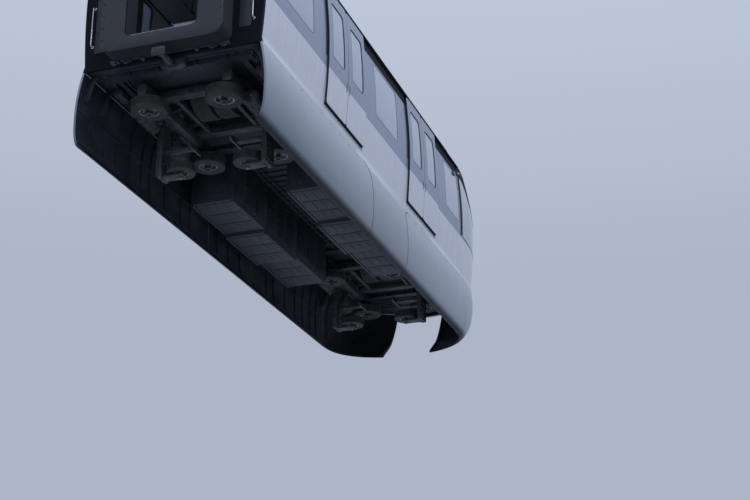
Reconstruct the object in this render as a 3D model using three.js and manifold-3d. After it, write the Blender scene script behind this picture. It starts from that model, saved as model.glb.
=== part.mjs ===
// Straddle monorail end car. Millimetres, +X to the nose, +Y left, +Z up.
// The origin is the middle of the car's wheelbase, on the running surface of the beam that it straddles.
import * as THREE from 'three';
import { mergeVertices } from 'three/addons/utils/BufferGeometryUtils.js';
import Module from 'manifold-3d';

const wasm = await Module();
wasm.setup();

// Driving dimensions
const GAP = 0.3; // between faces that touch
const REAR = -5550; // rear face of the body
const MASK = 4700; // joint between the side walls and the nose
const WALL = 60; // body shell
const SKIRT = 35; // covers below the floor
const GLASS = 10;
const SEAM = 210; // joint between the body and the bogie covers
const CANT = 2450; // top of the side walls, under the dark roof edge
const FLOOR = 450;
const SILL = 215; // underside of the floor
const BOTTOM = -1080;
const PANEL_GAP = 6;
const WINDOW = { low: 1360, high: 2415, corner: 90 };
const DOOR = { centres: [-2110, 2110], leaf: 900, low: 432, high: 2640, clear: 1640, corner: 60 };
const LEAF = { inner: 8, outer: 42, window: [160, 730], pane: [18, 30] };
const BEAM_HALF = 345; // half width of the beam that the car straddles
const BOGIES = [['rear', -3900], ['front', 3900]];
const LOAD_WHEEL = { radius: 475, width: 295, rim: 275, y: 172 };
const GUIDE_WHEEL = { radius: 290, width: 190, rim: 150, bore: 42, z: -250, x: 1050 };
const STEADY_WHEEL = { radius: 235, width: 150, rim: 120, bore: 42, z: -850 };
const WELL = { x: 580, y: 500, top: 1020, wall: 20 };
const GANGWAY = { half: 560, low: 470, high: 2360, corner: 90, outer: 1000, reach: 380 };

// Colours and finishes
const finish = (color, roughness, metalness) => ({ color, roughness, metalness });
const FINISH = {
  silver: finish(0xb9c2cd, 0.38, 0.35),
  skirt: finish(0x8a949f, 0.45, 0.3),
  dark: finish(0x1d2736, 0.5, 0.1),
  glass: finish(0x2a3644, 0.08, 0.2),
  rubber: finish(0x15171b, 0.85, 0),
  tyre: finish(0x1a1a1c, 0.9, 0),
  steel: finish(0x4a5058, 0.55, 0.6),
  floor: finish(0x3b4048, 0.7, 0.2),
  seat: finish(0x2c5b8c, 0.6, 0),
  rail: finish(0xc4c8cc, 0.25, 0.9),
  roof: finish(0x7d868f, 0.6, 0.2),
  lamp: finish(0xd5dce0, 0.1, 0.1),
};

// Solids
function solid(geometry) {
  const bare = geometry.index ? geometry.toNonIndexed() : geometry.clone();
  for (const name of ['normal', 'uv']) bare.deleteAttribute(name);
  const merged = mergeVertices(bare, 1e-3);
  return new wasm.Manifold(new wasm.Mesh({
    numProp: 3,
    vertProperties: new Float32Array(merged.attributes.position.array),
    triVerts: new Uint32Array(merged.index.array),
  }));
}

function geometryOf(manifold) {
  const mesh = manifold.getMesh();
  const geometry = new THREE.BufferGeometry();
  const positions = new Float32Array(mesh.vertProperties);
  geometry.setAttribute('position', new THREE.BufferAttribute(positions, mesh.numProp));
  geometry.setIndex(new THREE.BufferAttribute(new Uint32Array(mesh.triVerts), 1));
  return geometry;
}

const joined = (parts) => parts.reduce((sum, part) => sum.add(part));
const cut = (body, tools) => tools.reduce((left, tool) => left.subtract(tool), body);

function block([x0, x1], [y0, y1], [z0, z1]) {
  const geometry = new THREE.BoxGeometry(x1 - x0, y1 - y0, z1 - z0);
  geometry.translate((x0 + x1) / 2, (y0 + y1) / 2, (z0 + z1) / 2);
  return solid(geometry);
}

// Axes of an outline's plane, and the way it is pushed
const PLANES = {
  yz: [[0, 1, 0], [0, 0, 1], [1, 0, 0]],
  xz: [[1, 0, 0], [0, 0, 1], [0, -1, 0]],
};

function prism(plane, outline, low, high, curveSegments = 2) {
  const isShape = outline instanceof THREE.Shape;
  const shape = isShape ? outline : new THREE.Shape(outline.map(([a, b]) => new THREE.Vector2(a, b)));
  const options = { depth: high - low, bevelEnabled: false, curveSegments };
  const geometry = new THREE.ExtrudeGeometry(shape, options);
  const [u, v, w] = PLANES[plane].map((axis) => new THREE.Vector3(...axis));
  geometry.applyMatrix4(new THREE.Matrix4().makeBasis(u, v, w));
  const start = plane === 'xz' ? -high : low;
  geometry.translate(w.x * start, w.y * start, w.z * start);
  return solid(geometry);
}

function rounded([x0, x1], [z0, z1], radius, Kind = THREE.Shape) {
  const shape = new Kind();
  shape.moveTo(x0 + radius, z0);
  shape.lineTo(x1 - radius, z0);
  shape.absarc(x1 - radius, z0 + radius, radius, -Math.PI / 2, 0, false);
  shape.lineTo(x1, z1 - radius);
  shape.absarc(x1 - radius, z1 - radius, radius, 0, Math.PI / 2, false);
  shape.lineTo(x0 + radius, z1);
  shape.absarc(x0 + radius, z1 - radius, radius, Math.PI / 2, Math.PI, false);
  shape.lineTo(x0, z0 + radius);
  shape.absarc(x0 + radius, z0 + radius, radius, Math.PI, Math.PI * 1.5, false);
  return shape;
}

function rod(axis, [x, y, z], radius, length, sides = 16) {
  const geometry = new THREE.CylinderGeometry(radius, radius, length, sides);
  if (axis === 'x') geometry.rotateZ(-Math.PI / 2);
  if (axis === 'z') geometry.rotateX(Math.PI / 2);
  geometry.translate(x, y, z);
  return solid(geometry);
}

const mirrored = (part, side) => (side > 0 ? part : part.mirror([0, 1, 0]));

// Triangles of the quads between two neighbouring rings of points
function band(first, second, count) {
  const index = [];
  for (let k = 0; k < count; k += 1) {
    const next = (k + 1) % count;
    index.push(first + k, second + k, second + next, first + k, second + next, first + next);
  }
  return index;
}

// A closed solid through rings of points that have the same count, its end rings filled flat
function loft(rings) {
  const count = rings[0].length;
  const last = (rings.length - 1) * count;
  const index = [];
  for (let i = 0; i + 1 < rings.length; i += 1) index.push(...band(i * count, (i + 1) * count, count));
  for (let k = 1; k + 1 < count; k += 1) index.push(0, k, k + 1, last, last + k + 1, last + k);
  const geometry = new THREE.BufferGeometry();
  geometry.setAttribute('position', new THREE.Float32BufferAttribute(rings.flat(2), 3));
  geometry.setIndex(index);
  return solid(geometry);
}

// Half section of the body, from the crown down: half width, height
const CROWN = 3030;
const SECTION = new THREE.Path();
SECTION.moveTo(0, CROWN);
SECTION.bezierCurveTo(760, CROWN, 1425, 2990, 1450, 2700);
SECTION.quadraticCurveTo(1470, 2450, 1500, 2100);
SECTION.quadraticCurveTo(1560, 1340, 1487, FLOOR);
SECTION.lineTo(1475, 300);
SECTION.lineTo(1500, SEAM);
SECTION.quadraticCurveTo(1600, -170, 1588, -600);
SECTION.quadraticCurveTo(1582, BOTTOM, 1440, BOTTOM);
const STEPS = [7, 2, 5, 1, 1, 3, 4];
const CROWN_FLAT = 12; // half of the flat strip on the crown
const NARROWEST = 8;

function sectionPoints() {
  const points = [new THREE.Vector2(CROWN_FLAT, CROWN)];
  SECTION.curves.forEach((curve, i) => {
    for (let k = 1; k <= STEPS[i]; k += 1) points.push(curve.getPoint(k / STEPS[i]));
  });
  return points;
}

// The section moved outwards by a distance, square to itself
function sectionAt(distance) {
  const points = sectionPoints();
  return points.map((p, i) => {
    const before = points[Math.max(i - 1, 0)];
    const after = points[Math.min(i + 1, points.length - 1)];
    const along = after.clone().sub(before).normalize();
    const width = Math.max(p.x - along.y * distance, NARROWEST);
    return new THREE.Vector2(width, p.y + along.x * distance);
  });
}

function halfWidth(height, distance = 0) {
  const points = sectionAt(distance);
  const i = points.findIndex((p) => p.y <= height);
  const [a, b] = [points[Math.max(i - 1, 0)], points[i]];
  return THREE.MathUtils.mapLinear(height, a.y, b.y, a.x, b.x);
}

// Nose in plan at a height: where the side starts to curve in, and where its tip is
const NOSE = [
  // height, start, tip
  [-1080, 4360, 5700],
  [-600, 4660, 6280],
  [200, 4900, 6740],
  [900, 5040, 6840],
  [1400, 5150, 6840],
  [2000, 5220, 6720],
  [2500, 5050, 6300],
  [2800, 4740, 5900],
  [CROWN, 4300, 5300],
].map(([height, start, tip]) => ({ height, start, tip }));
const NOSE_FULLNESS = 3;
const NOSE_STEPS = 14;

function noseAt(height) {
  const z = THREE.MathUtils.clamp(height, NOSE[0].height, NOSE[NOSE.length - 1].height);
  const i = Math.max(NOSE.findIndex((row) => row.height >= z), 1);
  const rows = [NOSE[Math.max(i - 2, 0)], NOSE[i - 1], NOSE[i], NOSE[Math.min(i + 1, NOSE.length - 1)]];
  const t = (z - rows[1].height) / (rows[2].height - rows[1].height);
  const smooth = (key) => {
    const slope = (a, b) => (rows[b][key] - rows[a][key]) / (rows[b].height - rows[a].height || 1);
    const span = rows[2].height - rows[1].height;
    const [m0, m1] = [slope(0, 2) * span, slope(1, 3) * span];
    const [t2, t3] = [t * t, t * t * t];
    return (2 * t3 - 3 * t2 + 1) * rows[1][key] + (t3 - 2 * t2 + t) * m0
      + (3 * t2 - 2 * t3) * rows[2][key] + (t3 - t2) * m1;
  };
  return { start: smooth('start'), tip: smooth('tip') };
}

// The whole body's outer form as one solid, its faces moved outwards by a distance
function hull(distance, rear = REAR - distance) {
  const original = sectionPoints();
  return loft(sectionAt(distance).map(({ x: width, y: height }, i) => {
    const { start, tip } = noseAt(original[i].y);
    const row = [[rear, -width, height]];
    for (let k = -NOSE_STEPS / 2; k <= NOSE_STEPS / 2; k += 1) {
      const turn = (Math.PI / 2) * Math.sin((k / NOSE_STEPS) * Math.PI);
      const reach = Math.max(Math.cos(turn), 0) ** (2 / NOSE_FULLNESS);
      row.push([start + (tip + distance - start) * reach, width * Math.sin(turn), height]);
    }
    return [...row, [rear, width, height]];
  }));
}

// A strip that follows the straight side, between two distances from the outer face
function sideStrip(inner, outer, [z0, z1], [x0, x1]) {
  const edge = (distance) => {
    const between = sectionAt(distance).filter((p) => p.y < z1 - 1 && p.y > z0 + 1);
    return [
      [halfWidth(z1, distance), z1], ...between.map((p) => [p.x, p.y]), [halfWidth(z0, distance), z0],
    ];
  };
  return prism('yz', [...edge(inner), ...edge(outer).reverse()], x0, x1);
}

const EVERYWHERE = [-9000, 9000];
const BELOW = BOTTOM - 50;
const ABOVE = 3200;
const group = new THREE.Group();

function piece(name, part, look, [x, y, z] = [0, 0, 0]) {
  const mesh = new THREE.Mesh(geometryOf(part), new THREE.MeshStandardMaterial(look));
  mesh.name = name;
  mesh.position.set(x, y, z);
  group.add(mesh);
}

const SIDES = [['left', 1], ['right', -1]];

// Body shell
const outer = hull(0);
const shell = outer.subtract(hull(-WALL, REAR - 100));
const LIP = 1300; // the covers' turned-in lower edge ends here
const skirtShell = outer.subtract(hull(-SKIRT, REAR - 100)).subtract(
  block(EVERYWHERE, [-LIP, LIP], [BELOW, BOTTOM + SKIRT + 5]),
);

// Half width of the floor, between the side walls
const floorHalf = halfWidth(300, -WALL) - 3;

// Bogie covers in elevation: ends, and the corner that is rounded off
const COVERS = [
  { name: 'rear', from: REAR, to: -880 },
  { name: 'front', from: 1000, to: MASK },
];
const COVER_CORNER = 280;

function coverOutline({ name, from, to }, spread) {
  const beyond = spread > 0 ? 400 : spread; // a cut runs on past the end of the car's side
  const [inner, rim, way] = name === 'rear' ? [to + spread, from - 200, 1] : [from - spread, to + beyond, -1];
  const top = SEAM + spread;
  const shape = new THREE.Shape();
  shape.moveTo(rim, BELOW);
  shape.lineTo(inner, BELOW);
  shape.lineTo(inner, top - COVER_CORNER);
  const centre = inner - way * COVER_CORNER;
  if (way > 0) shape.absarc(centre, top - COVER_CORNER, COVER_CORNER, 0, Math.PI / 2, false);
  else shape.absarc(centre, top - COVER_CORNER, COVER_CORNER, Math.PI, Math.PI / 2, true);
  shape.lineTo(rim, top);
  shape.closePath();
  return shape;
}

// Brackets that hang the covers from the floor
const HANGERS = { rear: [-5380, -4900, -2900, -2350, -1300], front: [1400, 2350, 2900, 4500] };
const HANGER = { half: 25, y: 1290, heights: [170, 20, -160], foot: 60, inset: SKIRT - 4 };
const hangerEdge = HANGER.heights.map((z) => [halfWidth(z, -HANGER.inset), z]);
const [hangerFootY, hangerFootZ] = hangerEdge[hangerEdge.length - 1];
const hangerOutline = [
  [HANGER.y, SILL - GAP], [floorHalf - 6, SILL - GAP], [floorHalf - 6, SEAM - 12], ...hangerEdge,
  [hangerFootY - HANGER.foot, hangerFootZ],
];
const coverPrism = (cover, spread) => prism('xz', coverOutline(cover, spread), ...EVERYWHERE, 4);
const coverCuts = COVERS.map((cover) => coverPrism(cover, PANEL_GAP / 2));

// Body panes in elevation: name, ends
const PANES = [
  ['rear', [-5100, -3600]],
  ['middle', [-620, 600]],
  ['front', [3660, 4620]],
];
const paneShape = ([x0, x1], inset) => rounded(
  [x0 + inset, x1 - inset], [WINDOW.low + inset, WINDOW.high - inset], WINDOW.corner - inset,
);

for (const [side, sign] of SIDES) {
  const reach = sign > 0 ? [200, 2000] : [-2000, -200];
  const wall = shell.intersect(block([REAR + WALL + GAP, MASK - PANEL_GAP / 2], reach, [SEAM + 2, CANT]));
  const skirtEnds = [COVERS[0].to - 400, COVERS[1].from + 400];
  const skirt = skirtShell.intersect(block(skirtEnds, reach, [BELOW, FLOOR]));
  const doorways = DOOR.centres.map((x) => block(
    [x - DOOR.clear / 2, x + DOOR.clear / 2], reach, [FLOOR + 2, CANT - 40],
  ));
  const paneHoles = PANES.map(([, ends]) => prism('xz', paneShape(ends, 0), ...reach));
  const openings = [...coverCuts, ...doorways, ...paneHoles];
  piece(`side_wall_${side}`, cut(wall.add(skirt), openings), FINISH.silver);
  for (const [place, ends] of PANES) {
    const strip = sideStrip(-2 - GLASS, -2, [WINDOW.low - 10, WINDOW.high + 10], ends);
    const pane = strip.intersect(prism('xz', paneShape(ends, 2), 0, 2000));
    piece(`window_${place}_${side}`, mirrored(pane, sign), FINISH.glass);
  }
  for (const cover of COVERS) {
    const kept = block([REAR + 2, MASK - PANEL_GAP / 2], reach, [BELOW, SEAM]);
    const panel = skirtShell.intersect(coverPrism(cover, -PANEL_GAP / 2)).intersect(kept);
    const hangers = HANGERS[cover.name].map((x) => mirrored(
      prism('yz', hangerOutline, x - HANGER.half, x + HANGER.half), sign,
    ));
    piece(`bogie_cover_${cover.name}_${side}`, joined([panel, ...hangers]), FINISH.skirt);
  }
}

// Door leaves hang outside the walls, on the roof edge
DOOR.centres.forEach((centre, i) => {
  for (const [side, sign] of SIDES) {
    for (const [half, way] of [['rear', -1], ['front', 1]]) {
      const near = centre + way * (PANEL_GAP / 2);
      const far = centre + way * DOOR.leaf;
      const ends = [Math.min(near, far), Math.max(near, far)];
      const window = LEAF.window.map((x) => far - way * x).sort((a, b) => a - b);
      const outline = rounded(ends, [DOOR.low, DOOR.high], DOOR.corner);
      outline.holes.push(rounded(window, [WINDOW.low, WINDOW.high], WINDOW.corner, THREE.Path));
      const strip = sideStrip(LEAF.inner, LEAF.outer, [DOOR.low, DOOR.high], ends);
      const glazed = [window[0] - 10, window[1] + 10];
      const pane = sideStrip(...LEAF.pane, [WINDOW.low - 10, WINDOW.high + 10], glazed);
      const leaf = strip.intersect(prism('xz', outline, 0, 2000)).add(pane);
      piece(`door_${['rear', 'front'][i]}_${side}_${half}_leaf`, mirrored(leaf, sign), FINISH.silver);
    }
  }
});

// Roof with its dark edges, and the rail above the doors that the leaves hang under
const RAIL = { low: DOOR.high + 12, high: DOOR.high + 40, reach: 50, ends: [-3900, 3900] };
const roofSpan = [REAR + WALL + GAP, MASK - PANEL_GAP / 2];
const roofShell = shell.intersect(block(roofSpan, EVERYWHERE, [CANT + GAP, ABOVE]));
const doorRail = sideStrip(-20, RAIL.reach, [RAIL.low, RAIL.high], RAIL.ends);
piece('roof', joined([roofShell, doorRail, mirrored(doorRail, -1)]), FINISH.roof);

// Air-conditioning unit on the roof, with a well for each fan
const unit = { ends: [-1900, 1900], half: 900, low: 2900, shoulder: 3140, high: 3230, slope: 110, rake: 320 };
const unitOutline = [
  [-unit.half, unit.low], [unit.half, unit.low], [unit.half, unit.shoulder],
  [unit.half - unit.slope, unit.high], [-unit.half + unit.slope, unit.high], [-unit.half, unit.shoulder],
];
const unitSide = [
  [unit.ends[0], unit.low], [unit.ends[1], unit.low],
  [unit.ends[1] - unit.rake, unit.high], [unit.ends[0] + unit.rake, unit.high],
];
const FAN = { places: [-900, 900], radius: 330, depth: 60 };
const unitBlock = prism('yz', unitOutline, ...unit.ends).intersect(prism('xz', unitSide, ...EVERYWHERE));
const fanWells = FAN.places.map((x) => rod('z', [x, 0, unit.high], FAN.radius, 2 * FAN.depth, 24));
piece('air_conditioning_unit', cut(unitBlock, [hull(GAP), ...fanWells]), FINISH.skirt);

// Nose: mask, glass band, posts behind it and lamps flush with it
const NOSE_FRONT = MASK + 2600;
const BAND = [
  // x, z of the glass band's edge seen from the side
  [MASK + 75, 1130], [MASK + 75, 2560], [MASK + 250, 2640], [NOSE_FRONT, 2640],
  [NOSE_FRONT, 1000], [MASK + 1500, 1010],
];
const bandInset = (d) => BAND.map(([x, z], i) => [x + (i < 2 ? d : 0), z + (i === 0 || i > 3 ? d : -d)]);
const noseRegion = block([MASK + PANEL_GAP / 2, NOSE_FRONT], EVERYWHERE, [SEAM + PANEL_GAP / 2, ABOVE]);
const POST = [
  // y, z of the left post's edges seen from the front
  [1040, 900], [1150, 900], [1050, 2750], [940, 2750],
];
const postPrism = prism('yz', POST, MASK + 600, NOSE_FRONT);
const posts = hull(-GLASS - 6).subtract(hull(-WALL)).intersect(postPrism.add(mirrored(postPrism, -1)));
const LAMP = [
  // y, z of the left lamp's corners seen from the front
  [620, 620], [1120, 660], [1160, 800], [660, 800],
];
const LAMP_MIDDLE = [890, 720];
const LAMP_DEPTH = 40;
const lampPrism = (sign, grow) => mirrored(prism('yz', LAMP.map(([y, z]) => [
  y + Math.sign(y - LAMP_MIDDLE[0]) * grow, z + Math.sign(z - LAMP_MIDDLE[1]) * grow,
]), MASK + 400, NOSE_FRONT), sign);
const lampHoles = SIDES.map(([, sign]) => lampPrism(sign, 0));
const mask = cut(shell.intersect(noseRegion), [prism('xz', bandInset(0), ...EVERYWHERE), ...lampHoles]);
piece('nose', mask.add(posts), FINISH.silver);
const lampSkin = hull(-4).subtract(hull(-4 - LAMP_DEPTH, REAR - 100));
for (const [side, sign] of SIDES) {
  piece(`headlamp_${side}`, lampSkin.intersect(lampPrism(sign, -PANEL_GAP / 2)), FINISH.lamp);
}
const glassSkin = hull(-2).subtract(hull(-2 - GLASS, REAR - 100));
piece('windscreen', glassSkin.intersect(prism('xz', bandInset(3), ...EVERYWHERE)), FINISH.glass);

// Apron below the nose, open where the beam passes
const SLOT = { half: 520, top: 90 };
const apronSlot = block([MASK, NOSE_FRONT], [-SLOT.half, SLOT.half], [BELOW, SLOT.top]);
const apronRegion = block([MASK + PANEL_GAP / 2, NOSE_FRONT], EVERYWHERE, [BELOW, SEAM - PANEL_GAP / 2]);
piece('nose_apron', skirtShell.intersect(apronRegion).subtract(apronSlot), FINISH.skirt);

// Rear end wall with the gangway's doorway
const endSlab = hull(-1).intersect(block([REAR, REAR + WALL], EVERYWHERE, [SEAM + PANEL_GAP / 2, ABOVE]));
const doorwayShape = rounded([-GANGWAY.half, GANGWAY.half], [FLOOR + 2, GANGWAY.high], GANGWAY.corner);
const doorway = prism('yz', doorwayShape, REAR - 50, REAR + 100);
piece('rear_end_wall', endSlab.subtract(doorway), FINISH.dark);

// Gangway bellows: a ring of folds between two flat frames
const FOLDS = 4;
const FOLD = { deep: -45, frame: 15, thick: 38, step: 2, around: 190, corner: 160 };
const bellowsEnd = REAR - GAP - GANGWAY.reach;
const foldPitch = (GANGWAY.reach - 2 * (FOLD.thick + FOLD.step)) / FOLDS;
const foldRings = [[bellowsEnd, FOLD.frame], [bellowsEnd + FOLD.thick, FOLD.frame]];
for (let k = 0; k < FOLDS; k += 1) {
  const from = bellowsEnd + FOLD.thick + FOLD.step + foldPitch * k;
  foldRings.push([from, FOLD.deep], [from + foldPitch * 0.35, 0], [from + foldPitch * 0.65, 0]);
}
foldRings.push([REAR - GAP - FOLD.thick - FOLD.step, FOLD.deep]);
foldRings.push([REAR - GAP - FOLD.thick, FOLD.frame], [REAR - GAP, FOLD.frame]);

// The ring's outline at an x, moved outwards by a distance
function foldRing([x, grow]) {
  const half = GANGWAY.outer + grow;
  const heights = [GANGWAY.low - FOLD.around - grow, GANGWAY.high + FOLD.around + grow];
  const outline = rounded([-half, half], heights, FOLD.corner + grow).getPoints(2).slice(0, -1);
  return outline.map(({ x: y, y: z }) => [x, -y, z]);
}

const passageHalf = GANGWAY.half + 40;
const passage = prism('yz', rounded(
  [-passageHalf, passageHalf], [GANGWAY.low, GANGWAY.high], GANGWAY.corner,
), bellowsEnd - 10, REAR + 10);
piece('gangway_bellows', loft(foldRings.map(foldRing)).subtract(passage), FINISH.rubber);

// Underframe: the floor slab, open over the load wheels, and the pads that the car is lifted by
const around = (middle, half) => [middle - half, middle + half];
const FLOOR_FRONT = 6450;
const inside = hull(-WALL - 2, REAR + WALL + GAP);
const floorSlab = inside.intersect(block(
  [REAR + WALL + GAP, FLOOR_FRONT], [-floorHalf, floorHalf], [SILL, FLOOR],
));
const PAD = { x: 2650, y: 1150, half: [100, 80], low: 193 };
const pads = [-1, 1].flatMap((end) => SIDES.map(([, sign]) => block(
  around(end * PAD.x, PAD.half[0]), around(sign * PAD.y, PAD.half[1]), [PAD.low, SILL + 20],
)));
const wellBlock = (x, grow, low) => block(
  [x - WELL.x - grow, x + WELL.x + grow], [-WELL.y - grow, WELL.y + grow], [low, WELL.top + grow],
);
const wellHoles = BOGIES.map(([, x]) => wellBlock(x, WELL.wall + GAP, SILL - 50));
const CROSS_MEMBER = { places: [-5250, -2450, 2450, 5250], half: 60, reach: 1240, low: 135 };
const crossMembers = CROSS_MEMBER.places.map((x) => block(
  around(x, CROSS_MEMBER.half), around(0, CROSS_MEMBER.reach), [CROSS_MEMBER.low, SILL + 20],
));
piece('underframe', cut(joined([floorSlab, ...pads, ...crossMembers]), wellHoles), FINISH.floor);
for (const [place, x] of BOGIES) {
  const well = wellBlock(x, WELL.wall, SILL).subtract(wellBlock(x, 0, SILL - 50));
  piece(`wheel_well_${place}`, well, FINISH.floor);
}

// Equipment cases under the floor, each side of the beam: ends, underside
const CASES = [
  [[-2150, -740], -640],
  [[-760, 660], -700],
  [[640, 2150], -620],
];
const CASE_SIDES = [480, 1280];
for (const [side, sign] of SIDES) {
  const cases = CASES.map(([ends, low]) => mirrored(block(ends, CASE_SIDES, [low, SILL - GAP]), sign));
  piece(`equipment_cases_${side}`, joined(cases), FINISH.floor);
}

// Coupling bar to the next car, above the beam
const coupler = joined([
  block([REAR - 380, REAR + 130], [-60, 60], [70, 150]),
  block([REAR + 64, REAR + 164], [-220, 220], [60, SILL - GAP]),
  block([REAR - 400, REAR - 370], [-110, 110], [45, 175]),
]);
piece('coupling_bar', coupler, FINISH.steel);

// Seats: islands round the wheel wells that face outwards, and benches along the walls
const ISLAND = [
  // y, z of the right half of the section
  [WELL.y + WELL.wall + 4, FLOOR + GAP], [900, FLOOR + GAP], [940, 800], [950, 880], [630, 860], [590, 1100],
  [530, 1430], [450, 1440],
];
const islandOutline = [
  ...ISLAND, ...ISLAND.slice(1).reverse().map(([y, z]) => [-y, z]), [-ISLAND[0][0], ISLAND[0][1]],
  [-ISLAND[0][0], WELL.top + WELL.wall + GAP], [ISLAND[0][0], WELL.top + WELL.wall + GAP],
];
const ISLAND_HALF = 700;
for (const [place, x] of BOGIES) {
  const seats = prism('yz', islandOutline, ...around(x, ISLAND_HALF));
  piece(`seats_over_${place}_wheels`, seats, FINISH.seat);
}
const BENCH = [
  // y, z of the left one's section, on a plinth against the wall
  [1380, FLOOR + GAP], [1100, FLOOR + GAP], [1100, 625], [1000, 640], [955, 800], [955, 885], [1330, 865],
  [1395, 1300], [1425, 1300],
];
const BENCH_HALF = 1180;
for (const [side, sign] of SIDES) {
  piece(`bench_${side}`, mirrored(prism('yz', BENCH, -BENCH_HALF, BENCH_HALF), sign), FINISH.seat);
}

// Handrails: two rails under the ceiling, cross bars, and posts beside the doors
const RAILS = { y: 700, z: 2230, radius: 18, sides: 6, ends: [-5250, 4500] };
const RAIL_POSTS = [-3080, -1250, 1250, 3080];
const RAIL_TIES = [-4900, 0, 4300];
const [railsFrom, railsTo] = RAILS.ends;
const bar = (axis, middle, length) => rod(axis, middle, RAILS.radius, length, RAILS.sides);
const rails = RAIL_TIES.map((x) => bar('y', [x, 0, RAILS.z], 2 * (halfWidth(RAILS.z, -WALL) - 2)));
for (const [, sign] of SIDES) {
  const y = sign * RAILS.y;
  rails.push(bar('x', [(railsFrom + railsTo) / 2, y, RAILS.z], railsTo - railsFrom));
  for (const x of RAIL_POSTS) rails.push(bar('z', [x, y, (RAILS.z + FLOOR) / 2], RAILS.z - FLOOR - 2 * GAP));
}
piece('handrails', joined(rails), FINISH.rail);

// Control desk in the nose, and the driver's seat behind it on a round foot
const DESK = [
  // x, z of the section
  [5350, FLOOR + GAP], [5900, FLOOR + GAP], [6150, 700], [6250, 990], [5600, 1060], [5400, 990], [5350, 900],
];
const DESK_HALF = 900;
const desk = prism('xz', DESK, -DESK_HALF, DESK_HALF).intersect(hull(-WALL - 20));
piece('control_desk', desk, FINISH.dark);
const DRIVER = { x: 4950, half: 240, stem: 60, foot: 180, footHeight: 30 };
const DRIVER_SEAT = [
  // x from the stem, z
  [-240, 875], [230, 875], [250, 980], [-130, 960], [-230, 1500], [-320, 1500],
];
const seatSection = DRIVER_SEAT.map(([x, z]) => [DRIVER.x + x, z]);
const seatUnderside = DRIVER_SEAT[0][1];
const driverSeat = joined([
  rod('z', [DRIVER.x, 0, (FLOOR + seatUnderside) / 2 + 3], DRIVER.stem, seatUnderside - FLOOR, 12),
  rod('z', [DRIVER.x, 0, FLOOR + DRIVER.footHeight / 2 + GAP], DRIVER.foot, DRIVER.footHeight, 12),
  prism('xz', seatSection, -DRIVER.half, DRIVER.half),
]);
piece('driver_seat', driverSeat, FINISH.seat);

// Wheels: a tyre on its rim, turned about an axis
function wheelBody({ radius, width, rim }, hub, sides) {
  const half = width / 2;
  const bead = rim * 1.06;
  const shoulder = radius * 0.93;
  const profile = [
    [hub, -half * 0.5], [rim, -half * 0.6], [bead, -half], [shoulder, -half], [radius, -half * 0.7],
    [radius, half * 0.7], [shoulder, half], [bead, half], [rim, half * 0.6], [hub, half * 0.5],
    [hub, -half * 0.5],
  ].map(([r, y]) => new THREE.Vector2(r, y));
  return solid(new THREE.LatheGeometry(profile, sides));
}
const upright = (part) => part.rotate([90, 0, 0]);
const LOAD_SIDES = 20;
const SMALL_SIDES = 12;

// Bogie frame, a saddle round the beam: blocks of its left half, as ranges of x, y, z from its middle
const AXLE = { radius: 62, half: 455, hub: 120, clear: 8 };
const FRAME = {
  side_beam: [[-1180, 1180], [640, 800], [-70, 120]],
  axle_beam: [[-740, 740], [387, 457], [55, 150]],
  axle_bracket: [[-130, 130], [392, 452], [60, 565]],
  leg: [[-150, 150], [860, 930], [-980, 60]],
  leg_shoulder: [[-170, 170], [780, 925], [-55, 95]],
  lower_wheel_arm: [[-90, 90], [510, 900], [-980, -940]],
  upper_wheel_arm: [[-90, 90], [510, 900], [-763, -723]],
  shoe_arm: [[-60, 60], [353, 900], [-540, -490]],
  contact_shoe: [[-220, 220], [349, 379], [-560, -470]],
  motor_mount: [[300, 640], [760, 960], [-110, 40]],
  reservoir_strap: [[-675, -625], [770, 900], [-180, -30]],
  second_strap: [[-385, -335], [770, 900], [-180, -30]],
};
const CROSS_BEAM = { x: 680, half: [80, 760], z: [40, 170] };
const SPRING_SEAT = { y: 720, z: 160, radius: 120, height: 96 };
const GUIDE_ARM = { half: 70, outer: 720, top: -50, clear: 15 };
const PIN = { sides: 6, clear: 8, cap: 75, capHeight: 30 };
// A traction motor on each side ahead of the middle, and an air reservoir behind it
const MOTOR = { y: 985, z: -200, radius: 185, cap: 140, ends: [200, 730], capEnds: [170, 770] };
const RESERVOIR = { y: 950, z: -170, radius: 120, ends: [-780, -230] };

function bogieHalf() {
  const lying = ({ y, z }, [from, to], radius) => rod('x', [(from + to) / 2, y, z], radius, to - from);
  const parts = Object.values(FRAME).map((ranges) => block(...ranges));
  parts.push(rod('z', [0, SPRING_SEAT.y, SPRING_SEAT.z], SPRING_SEAT.radius, SPRING_SEAT.height, 12));
  parts.push(lying(MOTOR, MOTOR.ends, MOTOR.radius), lying(MOTOR, MOTOR.capEnds, MOTOR.cap));
  parts.push(lying(RESERVOIR, RESERVOIR.ends, RESERVOIR.radius));
  const pin = ({ bore }, x, y, z, length) => rod('z', [x, y, z], bore - PIN.clear, length, PIN.sides);
  for (const end of [-1, 1]) {
    const x = end * GUIDE_WHEEL.x;
    const y = BEAM_HALF + GUIDE_WHEEL.radius;
    const [low, high] = around(GUIDE_WHEEL.z, GUIDE_WHEEL.width / 2);
    const armY = [y - GUIDE_ARM.half, GUIDE_ARM.outer];
    parts.push(pin(GUIDE_WHEEL, x, y, GUIDE_WHEEL.z + 45, 410));
    parts.push(block(around(x, GUIDE_ARM.half), armY, [high + GUIDE_ARM.clear, GUIDE_ARM.top]));
    parts.push(rod('z', [x, y, low - 22], PIN.cap, PIN.capHeight, PIN.sides));
  }
  parts.push(pin(STEADY_WHEEL, 0, BEAM_HALF + STEADY_WHEEL.radius, STEADY_WHEEL.z, 240));
  return joined(parts);
}

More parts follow.
